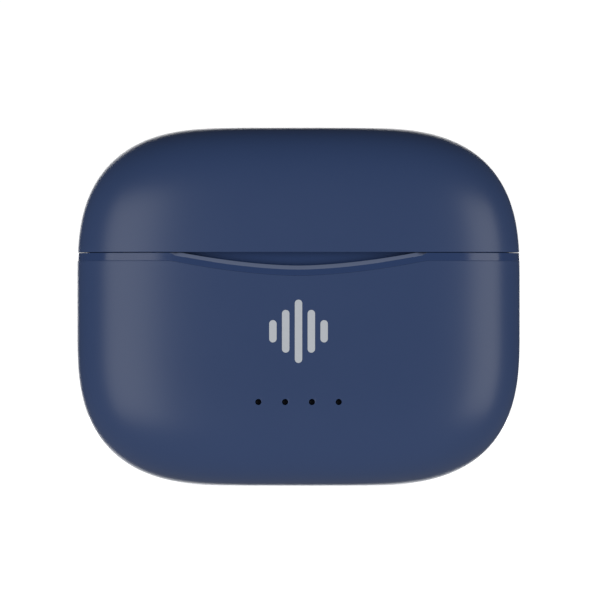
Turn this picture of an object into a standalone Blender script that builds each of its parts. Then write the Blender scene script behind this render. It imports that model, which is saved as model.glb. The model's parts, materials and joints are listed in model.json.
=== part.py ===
"""Wireless earbuds case: an upright pebble-shaped charging case with a hinged lid.

The case stands on the small flat at the middle of its underside. The front faces -Y, +X is to the
right, and the origin is the centre of the foot. All sizes are in metres.
"""

import math

import bmesh
import bpy
from mathutils import Matrix, Vector

# Driving dimensions of the whole form
WIDTH = 0.060
DEPTH = 0.025
HEIGHT = 0.0484
SEAM = 0.0316  # height of the parting line between base and lid
WALL = 0.0013
GAP = 0.0003  # left between two pieces that touch

# The front outline's corner: how far it reaches along X and Z, and its superellipse power
CORNER_X = 0.02112
CORNER_Z = 0.02027
CORNER_POWER = 2.73
# The side outline's corner, along Y and Z
SIDE_CORNER_Y = 0.0085
SIDE_CORNER_Z = 0.0150
SIDE_POWER = 2.5
# The plan outline: the power of its superellipse, the steps in a quarter of it, and how much
# closer together they are where it crosses the axes
PLAN_POWER = 3.0
PLAN_STEPS = 12
PLAN_CROWDING = 0.6

# Rim: the band of the inner tray that shows below the parting line
BAND = 0.0011
RIM_TOP = SEAM - GAP / 2
RIM_UNDER = RIM_TOP - BAND
LID_EDGE = SEAM + GAP / 2
DECK = 0.0013  # thickness of the tray's top plate
SKIRT_FOOT = SEAM - 0.0042
FIT = WALL + GAP  # inset of a piece that fits inside a shell
RIB = 0.0010  # thickness of the skirt and of the locating lip
LIP_RISE = 0.0006

# Thumb notch: an arc in the front of the rim
NOTCH_DEPTH = 0.0020
NOTCH_HALF = 0.0171
NOTCH_RADIUS = (NOTCH_HALF ** 2 + NOTCH_DEPTH ** 2) / (2 * NOTCH_DEPTH)

# Hinge at the back: the knuckles are flush with the back, in a groove that lets the lid swing
KNUCKLE_RADIUS = 0.0012
HINGE_Y = DEPTH / 2 - KNUCKLE_RADIUS
HINGE_HALF = 0.0080
HINGE_MIDDLE = 0.0037  # half length of the lid's knuckle
PIN_RADIUS = 0.0005
BORE_RADIUS = PIN_RADIUS + GAP
GROOVE_SLOPE = math.tan(math.radians(52))
LEAF = 0.0008
BASE_LEAF_Y = 0.0086
LID_LEAF_Y = 0.0088
HINGE_SCREW_X = 0.0058
BASE_SCREW_Z = 0.0255
LID_SCREW_Z = 0.0365
ROOM_HALF = 0.0084  # half width of the room that the covers and the tray leave for the hinge
ROOM_RISE = 0.0016  # its height above and below the parting line in the covers
SHELL_ROOM_Y = 0.0097
TRAY_ROOM_Y = 0.0083
LINER_ROOM_Y = 0.0085
BEHIND = 0.0140  # where a cutter ends, behind the back surface

# Screws and their bosses
SCREW_HOLE = 0.0008
BOSS_RADIUS = 0.0015
BOARD_BOSS_RADIUS = 0.0013
BASE_BOSS_ROOT = 0.0117  # inside the back wall
LID_BOSS_ROOT = 0.0116
LID_BOSS_TIP = 0.0099
BORE_END = 0.0003  # from the end of a boss's bore to its root

# Wells for the earbuds
HEAD_X = 0.0120
HEAD_RADIUS = 0.0073
HEAD_FLOOR = 0.0208
STEM_X = 0.0140
STEM_RADIUS = 0.0034
STEM_FLOOR = 0.0095
CUP_WALL = 0.0010
CUP_FLOOR = 0.0012
FLANGE_RADIUS = 0.0090  # of the flange that a seat hangs from
FLANGE_THICK = 0.0005
DOME_Z = 0.0332
DOME_RISE = 0.0082
LINER_LOW = SEAM + 0.0010
LINER_HIGH = LINER_LOW + 0.0012

# Spring pins under the stems
PIN_SPACING = 0.0032
PLUNGER_RADIUS = 0.00045
PLUNGER_TOP = STEM_FLOOR + 0.0008
PLUNGER_FOOT = 0.0072
BARREL_RADIUS = 0.00115
BARREL_BORE = PLUNGER_RADIUS + GAP
BARREL_FOOT = 0.0047
BARREL_TOP = STEM_FLOOR - CUP_WALL - GAP
CONTACT_BOARD_Z = 0.0040

# Electronics, front to back
LAMP_Z = 0.0114
LAMP_PITCH = 0.0036
LAMP_HOLE_RADIUS = 0.0004
GUIDE_Y = -0.00995
LAMP_Y = -0.00905
LAMP_BOARD_Y = -0.00825
PAD_Y = -0.00745
BATTERY_SIZE = (0.0138, 0.0076, 0.0108)
BATTERY_AT = (0.0, -0.0031, 0.0138)
BOARD_Y = 0.00235
BOARD_THICK = 0.0008
BOARD_BACK = BOARD_Y + BOARD_THICK / 2
BOARD_SCREW_X = 0.0083
BOARD_SCREW_Z = 0.0165
SOCKET_X = 0.00894
SOCKET_Y = 0.00326
SOCKET_LOW = 0.0003
SOCKET_LONG = 0.00735
SOCKET_WALL = 0.00035

# Button at the back
BUTTON_Z = 0.0120
BUTTON_RADIUS = 0.0025
BUTTON_FACE_Y = 0.0124
BUTTON_FLANGE_Y = 0.0096
BUTTON_STEM_Y = 0.0053

# Magnets: size along X, Y and Z, and where they are
CLOSING_X = 0.0240
CLOSING_Y = -0.0020
BASE_MAGNET = (0.0040, 0.0040, 0.0024)
LID_MAGNET = (0.0040, 0.0040, 0.0020)
SENSOR_MAGNET = (0.0030, 0.0020, 0.0015)
SENSOR_Y = -0.0070
BUD_MAGNET = (0.0030, 0.0040, 0.0025)
BUD_MAGNET_X = 0.0204

# Parts on the boards: size along X, Y and Z
CHIP_Z = 0.0090  # foot of the two chips
CONTROL_CHIP = (0.0038, 0.0008, 0.0040)
CONTROL_CHIP_X = -0.0051
CHARGE_CHIP = (0.0032, 0.0008, 0.0032)
CHARGE_CHIP_X = 0.0050
CONNECTOR = (0.0040, 0.0009, 0.0022)
CONNECTOR_Z = 0.0146
SWITCH = (0.0032, 0.0014, 0.0032)
MAIN_BOARD = (0.0188, BOARD_THICK, 0.0168)
MAIN_BOARD_Z = 0.0022
LAMP_BOARD = (0.0150, 0.0005, 0.0052)
LAMP_BOARD_Z = 0.0088
CONTACT_BOARD = (0.0068, 0.0052, 0.0008)
LIGHT_GUIDE = (0.0140, 0.0007, 0.0024)
LAMP = (0.0010, 0.0005, 0.0008)
BATTERY_PAD = (0.0130, 0.0005, 0.0096)
PAD_Z = 0.0092
TONGUE = (0.0066, 0.0007)
TONGUE_FOOT = 0.0013

SIDES = (("left", -1), ("right", 1))


# Materials

def material(name, colour, roughness, metallic=0.0):
    """A Principled material with one plain colour."""
    made = bpy.data.materials.new(name)
    made.use_nodes = True
    shader = made.node_tree.nodes["Principled BSDF"]
    shader.inputs["Base Color"].default_value = (*colour, 1.0)
    shader.inputs["Roughness"].default_value = roughness
    shader.inputs["Metallic"].default_value = metallic
    made.diffuse_color = (*colour, 1.0)
    return made


def make_materials():
    """Every finish of the case, by name."""
    return {
        "shell": material("navy_shell", (0.045, 0.068, 0.140), 0.42),
        "tray": material("navy_inner", (0.028, 0.043, 0.092), 0.35),
        "steel": material("hinge_steel", (0.55, 0.56, 0.58), 0.30, 1.0),
        "magnet": material("nickel_magnet", (0.60, 0.58, 0.53), 0.25, 1.0),
        "gold": material("contact_gold", (0.83, 0.62, 0.25), 0.25, 1.0),
        "board": material("board_green", (0.02, 0.12, 0.06), 0.50),
        "flex": material("flex_amber", (0.45, 0.22, 0.05), 0.45),
        "chip": material("chip_black", (0.02, 0.02, 0.02), 0.45),
        "cell": material("battery_wrap", (0.35, 0.37, 0.39), 0.40),
        "foam": material("foam_black", (0.03, 0.03, 0.03), 0.90),
        "lamp": material("lamp_white", (0.80, 0.80, 0.75), 0.30),
        "guide": material("light_guide_smoke", (0.05, 0.05, 0.06), 0.15),
    }


# Objects and Booleans

def add_object(name, mesh, finish, location=(0.0, 0.0, 0.0), parent=None):
    """Link a mesh as a named object at a place in the world."""
    obj = bpy.data.objects.new(name, mesh)
    bpy.context.scene.collection.objects.link(obj)
    obj.data.materials.append(finish)
    obj.location = Vector(location)
    if parent is not None:
        obj.parent = parent
        obj.location = Vector(location) - parent.location
    return obj


def finish_mesh(name, shape):
    """Turn a bmesh into a mesh with its faces pointing out."""
    bmesh.ops.recalc_face_normals(shape, faces=shape.faces)
    mesh = bpy.data.meshes.new(name)
    shape.to_mesh(mesh)
    shape.free()
    mesh.shade_smooth()
    mesh.set_sharp_from_angle(angle=math.radians(30))
    return mesh


def boolean(target, tool, operation):
    """Join a tool object to a target or cut it away, and hide the tool."""
    step = target.modifiers.new(operation.lower() + "_" + tool.name, "BOOLEAN")
    step.operation = operation
    step.object = tool
    step.solver = "EXACT"
    tool.hide_render = True
    tool.display_type = "WIRE"


def cut(target, *tools):
    """Cut every tool away from a target."""
    for tool in tools:
        boolean(target, tool, "DIFFERENCE")


def join(target, *tools):
    """Join every tool to a target."""
    for tool in tools:
        boolean(target, tool, "UNION")


# Shapes

def loft(name, rings):
    """A closed body through rings of equal length, capped at both ends."""
    shape = bmesh.new()
    rows = [[shape.verts.new(point) for point in ring] for ring in rings]
    for low, high in zip(rows, rows[1:]):
        for index in range(len(low)):
            after = (index + 1) % len(low)
            shape.faces.new((low[index], low[after], high[after], high[index]))
    shape.faces.new(rows[0])
    shape.faces.new(rows[-1])
    return finish_mesh(name, shape)


def box_mesh(name, size):
    """A box of a given size about its centre."""
    shape = bmesh.new()
    bmesh.ops.create_cube(shape, size=1.0)
    bmesh.ops.scale(shape, vec=size, verts=shape.verts)
    return finish_mesh(name, shape)


def turned_mesh(name, profile, segments, axis="Z"):
    """A turned body from (radius, height) pairs, along Z or along Y."""
    rings = []
    for radius, height in profile:
        ring = []
        for index in range(segments):
            angle = 2 * math.pi * index / segments
            ring.append(Vector((radius * math.cos(angle), radius * math.sin(angle), height)))
        rings.append(ring)
    mesh = loft(name, rings)
    if axis == "Y":
        mesh.transform(Matrix.Rotation(math.radians(-90), 4, "X"))
    return mesh


def stadium_rings(half_x, half_y, heights, segments=6):
    """Loops with round ends along X, one for each height."""
    straight = half_x - half_y
    outline = []
    for side in (1, -1):
        for index in range(segments + 1):
            angle = math.pi * (index / segments - 0.5)
            outline.append((side * (straight + half_y * math.cos(angle)), side * half_y * math.sin(angle)))
    return [[Vector((x, y, z)) for x, y in outline] for z in heights]


def box(name, low, high, finish, parent=None):
    """A box between two corners, as an object at its own centre."""
    size = [high[axis] - low[axis] for axis in range(3)]
    centre = [(high[axis] + low[axis]) / 2 for axis in range(3)]
    return add_object(name, box_mesh(name, size), finish, centre, parent)


def block(name, size, foot, finish, parent=None):
    """A box of a given size that stands on a point, the middle of its lowest face."""
    low = (foot[0] - size[0] / 2, foot[1] - size[1] / 2, foot[2])
    high = (foot[0] + size[0] / 2, foot[1] + size[1] / 2, foot[2] + size[2])
    return box(name, low, high, finish, parent)


# The pebble form

def rounded(reach, power):
    """Share of a corner's width that is left at a share of its height."""
    reach = min(max(reach, 0.0), 1.0)
    return (1.0 - reach ** power) ** (1.0 / power)


def half_width(z, inset=0.0):
    """Half width of the form at a height, inside a wall of the given inset."""
    reach = (abs(z - HEIGHT / 2) - (HEIGHT / 2 - CORNER_Z)) / (CORNER_Z - inset)
    return WIDTH / 2 - CORNER_X + (CORNER_X - inset) * rounded(reach, CORNER_POWER)


def half_depth(z, inset=0.0):
    """Half depth of the form at a height, inside a wall of the given inset."""
    reach = (abs(z - HEIGHT / 2) - (HEIGHT / 2 - SIDE_CORNER_Z)) / (SIDE_CORNER_Z - inset)
    return DEPTH / 2 - SIDE_CORNER_Y + (SIDE_CORNER_Y - inset) * rounded(reach, SIDE_POWER)


def plan_points(half_x, half_y):
    """The plan outline, anticlockwise from +X."""
    quarter = []
    for step in range(PLAN_STEPS):
        share = step / PLAN_STEPS
        angle = math.pi / 2 * (share - PLAN_CROWDING * math.sin(2 * math.pi * share) / (2 * math.pi))
        quarter.append((math.cos(angle) ** (2 / PLAN_POWER), math.sin(angle) ** (2 / PLAN_POWER)))
    outline = []
    for turn in range(4):
        for across, along in quarter:
            x, y = ((across, along), (-along, across), (-across, -along), (along, -across))[turn]
            outline.append((half_x * x, half_y * y))
    return outline


def ring(inset, height):
    """One loop of the form; height is a number or a function of a point's x and y."""
    if not callable(height):
        outline = plan_points(half_width(height, inset), half_depth(height, inset))
        return [Vector((x, y, height)) for x, y in outline]
    loop = []
    for index, (x, y) in enumerate(plan_points(half_width(SEAM, inset), half_depth(SEAM, inset))):
        z = height(x, y)
        x, y = plan_points(half_width(z, inset), half_depth(z, inset))[index]
        loop.append(Vector((x, y, z)))
    return loop


def notch_drop(x, y):
    """How far the thumb notch lowers the rim."""
    return max(NOTCH_DEPTH - x * x / (2 * NOTCH_RADIUS), 0.0) if y < 0 else 0.0


def groove_drop(y):
    """How far the hinge groove moves an edge away from the parting line."""
    return max(y - HINGE_Y, 0.0) * GROOVE_SLOPE


def rim_height(level):
    """Height of a rim loop that starts from a level and follows notch and groove."""
    return lambda x, y: level - notch_drop(x, y) - groove_drop(y)


def lid_edge_height(x, y):
    """Height of the lid's lower edge, which only rises at the hinge groove."""
    return LID_EDGE + groove_drop(y)


def corner_levels(inset, angles):
    """Heights above the middle of the form, at angles round the front outline's corner."""
    levels = []
    for angle in angles:
        reach = math.sin(math.radians(angle)) ** (2 / CORNER_POWER)
        levels.append(HEIGHT / 2 - CORNER_Z + (CORNER_Z - inset) * reach)
    return levels


def lid_rings(inset, angles):
    """Loops of the lid from low to high."""
    return [ring(inset, HEIGHT / 2 + level) for level in corner_levels(inset, angles)]


def base_rings(inset, angles):
    """Loops of the base from high to low."""
    return [ring(inset, HEIGHT / 2 - level) for level in corner_levels(inset, angles)]


# Lid

def make_lid(finishes):
    """The lid with its liner, magnets and hinge leaf, all on the hinge's pivot."""
    pivot = bpy.data.objects.new("lid_pivot", None)
    bpy.context.scene.collection.objects.link(pivot)
    pivot.location = (0.0, HINGE_Y, SEAM)

    inner = list(reversed(lid_rings(WALL, (22, 42, 60, 76, 90))))
    outer = lid_rings(0.0, (18, 32, 46, 60, 72, 82, 90))
    rims = [ring(WALL, lid_edge_height), ring(0.0, lid_edge_height)]
    shell = add_object("lid_shell", loft("lid_shell", inner + rims + outer), finishes["shell"], (0, 0, 0), pivot)
    for side, sign in SIDES:
        place = (sign * HINGE_SCREW_X, 0.0, LID_SCREW_Z)
        boss = turned_mesh("lid_boss_" + side, ((BOSS_RADIUS, LID_BOSS_TIP), (BOSS_RADIUS, LID_BOSS_ROOT)), 12, "Y")
        hole = turned_mesh("lid_boss_hole_" + side, ((SCREW_HOLE, LID_BOSS_TIP - 0.001),
                                                     (SCREW_HOLE, LID_BOSS_ROOT - BORE_END)), 10, "Y")
        join(shell, add_object(boss.name, boss, finishes["shell"], place, pivot))
        cut(shell, add_object(hole.name, hole, finishes["shell"], place, pivot))
    room = box("lid_hinge_room", (-ROOM_HALF, SHELL_ROOM_Y, SEAM - ROOM_RISE), (ROOM_HALF, BEHIND, SEAM + ROOM_RISE),
               finishes["shell"], pivot)
    cut(shell, room)

    plate = [ring(FIT, level) for level in (LINER_LOW, LINER_HIGH)]
    liner = add_object("lid_liner", loft("lid_liner", plate), finishes["tray"], (0, 0, 0), pivot)
    for side, sign in SIDES:
        place = (sign * HEAD_X, 0.0, DOME_Z)
        dome = turned_mesh("dome_" + side, dome_profile(HEAD_RADIUS + CUP_WALL, DOME_RISE + CUP_WALL), 24)
        join(liner, add_object(dome.name, dome, finishes["tray"], place, pivot))
    for side, sign in SIDES:
        place = (sign * HEAD_X, 0.0, DOME_Z)
        below = ((HEAD_RADIUS, LINER_LOW - DOME_Z - 0.001),)
        hollow = turned_mesh("dome_hollow_" + side, below + dome_profile(HEAD_RADIUS, DOME_RISE), 24)
        cut(liner, add_object(hollow.name, hollow, finishes["tray"], place, pivot))
    cut(liner, box("liner_hinge_room", (-ROOM_HALF, LINER_ROOM_Y, LINER_LOW - 0.002),
                   (ROOM_HALF, BEHIND, LINER_HIGH + 0.006), finishes["tray"], pivot))

    magnet_low = LINER_HIGH + GAP
    for side, sign in SIDES:
        block("lid_magnet_" + side, LID_MAGNET, (sign * CLOSING_X, CLOSING_Y, magnet_low), finishes["magnet"], pivot)
    block("lid_sensor_magnet", SENSOR_MAGNET, (0.0, SENSOR_Y, magnet_low), finishes["magnet"], pivot)

    leaf = knuckle("hinge_lid_leaf", -HINGE_MIDDLE, HINGE_MIDDLE, finishes["steel"], pivot)
    back = LID_LEAF_Y + LEAF
    join(leaf,
         box("lid_web", (-HINGE_MIDDLE, LID_LEAF_Y, SEAM + GAP), (HINGE_MIDDLE, HINGE_Y, SEAM + 0.0011),
             finishes["steel"], pivot),
         box("lid_leaf_neck", (-HINGE_MIDDLE + 0.0001, LID_LEAF_Y, SEAM + 0.0005),
             (HINGE_MIDDLE - 0.0001, back, SEAM + 0.0040), finishes["steel"], pivot),
         box("lid_leaf_plate", (-HINGE_HALF, LID_LEAF_Y - 0.0001, SEAM + 0.0019),
             (HINGE_HALF, back + 0.0001, SEAM + 0.0070), finishes["steel"], pivot))
    cut(leaf, pin_bore("lid_leaf_bore", finishes["steel"], pivot))
    for side, sign in SIDES:
        place = (sign * HINGE_SCREW_X, 0.0, LID_SCREW_Z)
        ends = ((SCREW_HOLE, LID_LEAF_Y - LEAF), (SCREW_HOLE, LID_LEAF_Y + 2 * LEAF))
        hole = turned_mesh("lid_leaf_hole_" + side, ends, 10, "Y")
        cut(leaf, add_object(hole.name, hole, finishes["steel"], place, pivot))
        make_screw("lid_hinge_screw_" + side, place, LID_LEAF_Y - 0.0001 - GAP, finishes["steel"], pivot)


def dome_profile(radius, rise):
    """Radius and height pairs of a quarter ellipse, from its rim to near its top."""
    pairs = []
    for angle in (0, 22, 42, 60, 76):
        pairs.append((radius * math.cos(math.radians(angle)), rise * math.sin(math.radians(angle))))
    return tuple(pairs) + ((radius * 0.08, rise),)


# Hinge

def knuckle(name, start, end, finish, parent=None):
    """A hinge knuckle along X between two places."""
    mesh = turned_mesh(name, ((KNUCKLE_RADIUS, start), (KNUCKLE_RADIUS, end)), 20)
    mesh.transform(Matrix.Rotation(math.radians(90), 4, "Y"))
    return add_object(name, mesh, finish, (0.0, HINGE_Y, SEAM), parent)


def pin_bore(name, finish, parent=None):
    """The tool that bores the knuckles for the pin."""
    mesh = turned_mesh(name, ((BORE_RADIUS, -0.0100), (BORE_RADIUS, 0.0100)), 16)
    mesh.transform(Matrix.Rotation(math.radians(90), 4, "Y"))
    return add_object(name, mesh, finish, (0.0, HINGE_Y, SEAM), parent)


def make_screw(name, place, head_back, finish, parent=None):
    """A small pan-head screw along +Y, its head ending at head_back."""
    profile = ((0.0007, -0.0005), (0.0010, -0.0003), (0.0010, 0.0), (0.0005, 0.0), (0.0005, 0.0025), (0.0002, 0.0028))
    mesh = turned_mesh(name, profile, 12, "Y")
    add_object(name, mesh, finish, (place[0], place[1] + head_back, place[2]), parent)


def make_hinge_base(finishes):
    """The base leaf with its two knuckles, the pin and the leaf's screws."""
    steel = finishes["steel"]
    leaf = box("hinge_base_leaf", (-HINGE_HALF, BASE_LEAF_Y, 0.0222), (HINGE_HALF, BASE_LEAF_Y + LEAF, 0.0312), steel)
    for side, sign in SIDES:
        ends = sorted((sign * (HINGE_MIDDLE + GAP), sign * HINGE_HALF))
        join(leaf,
             box("base_web_" + side, (ends[0] + 0.0001, BASE_LEAF_Y + 0.0002, SEAM - 0.0011),
                 (ends[1] - 0.0001, HINGE_Y, SEAM - 0.0005), steel),
             knuckle("base_knuckle_" + side, ends[0], ends[1], steel))
    middle = box("lid_knuckle_room", (-HINGE_MIDDLE - GAP, BASE_LEAF_Y - 0.001, SEAM - 0.0016),
                 (HINGE_MIDDLE + GAP, DEPTH, SEAM + 0.0020), steel)
    cut(leaf, middle, pin_bore("base_leaf_bore", steel))
    for side, sign in SIDES:
        place = (sign * HINGE_SCREW_X, 0.0, BASE_SCREW_Z)
        ends = ((SCREW_HOLE, BASE_LEAF_Y - LEAF), (SCREW_HOLE, BASE_LEAF_Y + 2 * LEAF))
        hole = turned_mesh("base_leaf_hole_" + side, ends, 10, "Y")
        cut(leaf, add_object(hole.name, hole, steel, place))
        make_screw("base_hinge_screw_" + side, place, BASE_LEAF_Y - GAP, steel)
    mesh = turned_mesh("hinge_pin", ((PIN_RADIUS, -0.0079), (PIN_RADIUS, 0.0079)), 12)
    mesh.transform(Matrix.Rotation(math.radians(90), 4, "Y"))
    add_object("hinge_pin", mesh, steel, (0.0, HINGE_Y, SEAM))


# Base

def make_base_shell(finishes):
    """The base shell, open at the top, with its port, lamp holes, button hole and bosses."""
    finish = finishes["shell"]
    inner = list(reversed(base_rings(WALL, (12, 34, 52, 66, 78, 90))))
    outer = base_rings(0.0, (8, 24, 38, 52, 64, 74, 83, 90))
    top = rim_height(RIM_UNDER - GAP)
    shell = add_object("base_shell", loft("base_shell", inner + [ring(WALL, top), ring(0.0, top)] + outer), finish)
    tips = {"board": BOARD_BACK + GAP, "base": BASE_LEAF_Y + LEAF + GAP}
    for side, sign in SIDES:
        places = {"board": (sign * BOARD_SCREW_X, 0.0, BOARD_SCREW_Z), "base": (sign * HINGE_SCREW_X, 0.0, BASE_SCREW_Z)}
        radii = {"board": BOARD_BOSS_RADIUS, "base": BOSS_RADIUS}
        ends = {"board": BOARD_BACK + 0.003, "base": BASE_BOSS_ROOT - BORE_END}
        for kind, place in places.items():
            name = kind + "_boss_" + side
            tip, radius = tips[kind], radii[kind]
            boss = turned_mesh(name, ((radius, tip), (radius, BASE_BOSS_ROOT)), 12, "Y")
            hole = turned_mesh(name + "_hole", ((SCREW_HOLE, tip - 0.001), (SCREW_HOLE, ends[kind])), 10, "Y")
            join(shell, add_object(boss.name, boss, finish, place))
            cut(shell, add_object(hole.name, hole, finish, place))
    cut(shell, box("base_hinge_room", (-ROOM_HALF, SHELL_ROOM_Y, SEAM - ROOM_RISE),
                   (ROOM_HALF, BEHIND, SEAM + ROOM_RISE), finish))
    port = loft("port_hole", stadium_rings(SOCKET_X / 2 + GAP, SOCKET_Y / 2 + GAP, (-0.001, 0.004)))
    cut(shell, add_object("port_hole", port, finish))
    for index in range(4):
        hole = turned_mesh("lamp_hole_%d" % (index + 1), ((LAMP_HOLE_RADIUS, -BEHIND), (LAMP_HOLE_RADIUS, GUIDE_Y)),
                           12, "Y")
        cut(shell, add_object(hole.name, hole, finish, ((index - 1.5) * LAMP_PITCH, 0.0, LAMP_Z)))
    bore = turned_mesh("button_hole", ((BUTTON_RADIUS + GAP, BUTTON_FLANGE_Y), (BUTTON_RADIUS + GAP, BEHIND)), 24, "Y")
    cut(shell, add_object("button_hole", bore, finish, (0.0, 0.0, BUTTON_Z)))


def make_tray(finishes):
    """The inner tray: rim band with notch, locating lip, skirt, and a deck with two holes for the seats."""
    finish = finishes["tray"]
    top = rim_height(RIM_TOP)
    under = rim_height(RIM_UNDER)
    rings = [
        ring(FIT + RIB, RIM_TOP - DECK),
        ring(FIT + RIB, SKIRT_FOOT),
        ring(FIT, SKIRT_FOOT),
        ring(FIT, under),
        ring(0.0, under),
        ring(0.0, top),
        ring(FIT - 0.0001, top),
        ring(FIT, SEAM + LIP_RISE),
        ring(FIT + RIB, SEAM + LIP_RISE),
        ring(FIT + RIB + 0.0002, RIM_TOP),
    ]
    tray = add_object("inner_tray", loft("inner_tray", rings), finish)
    for side, sign in SIDES:
        hole = ((HEAD_RADIUS + CUP_WALL + GAP, RIM_TOP - DECK - 0.001), (HEAD_RADIUS + CUP_WALL + GAP, SEAM + 0.003))
        cut(tray, add_object("seat_hole_" + side, turned_mesh("seat_hole_" + side, hole, 28), finish,
                             (sign * HEAD_X, 0, 0)))
    cut(tray, box("tray_hinge_room", (-ROOM_HALF, TRAY_ROOM_Y, SKIRT_FOOT - 0.002), (ROOM_HALF, BEHIND, SEAM + 0.003),
                  finish))


def make_seats(finishes):
    """The two seats: a head cup that hangs in the deck by its flange, over a stem cup with the pins' holes."""
    finish = finishes["tray"]
    under_flange = RIM_TOP + GAP
    for side, sign in SIDES:
        outside = ((HEAD_RADIUS + CUP_WALL, HEAD_FLOOR - CUP_FLOOR), (HEAD_RADIUS + CUP_WALL, under_flange),
                   (FLANGE_RADIUS, under_flange), (FLANGE_RADIUS, under_flange + FLANGE_THICK))
        stem = ((STEM_RADIUS + CUP_WALL, STEM_FLOOR - CUP_WALL), (STEM_RADIUS + CUP_WALL, HEAD_FLOOR - CUP_FLOOR / 2))
        seat = add_object("bud_seat_" + side, turned_mesh("bud_seat_" + side, outside, 28), finish,
                          (sign * HEAD_X, 0, 0))
        join(seat,
             add_object("stem_cup_" + side, turned_mesh("stem_cup_" + side, stem, 20), finish, (sign * STEM_X, 0, 0)))
        head = ((HEAD_RADIUS, HEAD_FLOOR), (HEAD_RADIUS, SEAM + 0.003))
        stem = ((STEM_RADIUS, STEM_FLOOR), (STEM_RADIUS, HEAD_FLOOR + 0.001))
        cut(seat,
            add_object("head_well_" + side, turned_mesh("head_well_" + side, head, 28), finish, (sign * HEAD_X, 0, 0)),
            add_object("stem_well_" + side, turned_mesh("stem_well_" + side, stem, 20), finish, (sign * STEM_X, 0, 0)))
        for place, offset in (("inner", -0.5), ("outer", 0.5)):
            name = "plunger_hole_" + side + "_" + place
            hole = ((BARREL_BORE, STEM_FLOOR - 0.002), (BARREL_BORE, STEM_FLOOR + 0.001))
            cut(seat, add_object(name, turned_mesh(name, hole, 12), finish, pin_place(sign, offset)))


def make_magnets(finishes):
    """Closing magnets under the deck and holding magnets beside the stems."""
    under_deck = RIM_TOP - DECK - GAP
    under_cup = HEAD_FLOOR - CUP_FLOOR - GAP
    for side, sign in SIDES:
        block("base_magnet_" + side, BASE_MAGNET, (sign * CLOSING_X, CLOSING_Y, under_deck - BASE_MAGNET[2]),
              finishes["magnet"])
        block("bud_magnet_" + side, BUD_MAGNET, (sign * BUD_MAGNET_X, 0.0, under_cup - BUD_MAGNET[2]),
              finishes["magnet"])


def pin_place(sign, offset):
    """Where a spring pin stands under a stem."""
    return (sign * (STEM_X + offset * PIN_SPACING), 0.0, 0.0)


def coil_mesh(name, radius, wire, low, high, turns, steps, sides):
    """A coil spring along Z as one closed tube."""
    rings = []
    for index in range(turns * steps + 1):
        turn = 2 * math.pi * index / steps
        share = index / (turns * steps)
        out = Vector((math.cos(turn), math.sin(turn), 0.0))
        centre = radius * out + Vector((0.0, 0.0, low + wire + (high - low - 2 * wire) * share))
        ring_points = []
        for side in range(sides):
            angle = 2 * math.pi * side / sides
            ring_points.append(centre + wire * (math.cos(angle) * out + math.sin(angle) * Vector((0, 0, 1))))
        rings.append(ring_points)
    return loft(name, rings)


def make_spring_pins(finishes):
    """Four spring pins on two contact boards."""
    for side, sign in SIDES:
        block("contact_board_" + side, CONTACT_BOARD, (sign * STEM_X, 0.0, CONTACT_BOARD_Z - CONTACT_BOARD[2] / 2),
              finishes["board"])
        ends = sorted((sign * 0.0054, sign * 0.0103))
        box("contact_flex_" + side, (ends[0], 0.0002, CONTACT_BOARD_Z - 0.0001),
            (ends[1], 0.0016, CONTACT_BOARD_Z + 0.0001), finishes["flex"])
        for place, offset in (("inner", -0.5), ("outer", 0.5)):
            spot = pin_place(sign, offset)
            tail = side + "_" + place
            cup = ((BARREL_BORE, BARREL_FOOT + 0.0004), (BARREL_BORE, BARREL_TOP), (BARREL_RADIUS, BARREL_TOP),
                   (BARREL_RADIUS, BARREL_FOOT))
            add_object("pogo_barrel_" + tail, turned_mesh("pogo_barrel_" + tail, cup, 14), finishes["gold"], spot)
            low = BARREL_FOOT + 0.0004 + GAP
            spring = coil_mesh("pogo_spring_" + tail, 0.0004, 0.0001, low, PLUNGER_FOOT - GAP, 3, 8, 4)
            add_object("pogo_spring_" + tail, spring, finishes["steel"], spot)
            pin = ((PLUNGER_RADIUS, PLUNGER_FOOT), (PLUNGER_RADIUS, PLUNGER_TOP - 0.0002),
                   (0.00025, PLUNGER_TOP))
            add_object("pogo_plunger_" + tail, turned_mesh("pogo_plunger_" + tail, pin, 12), finishes["gold"], spot)


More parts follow.
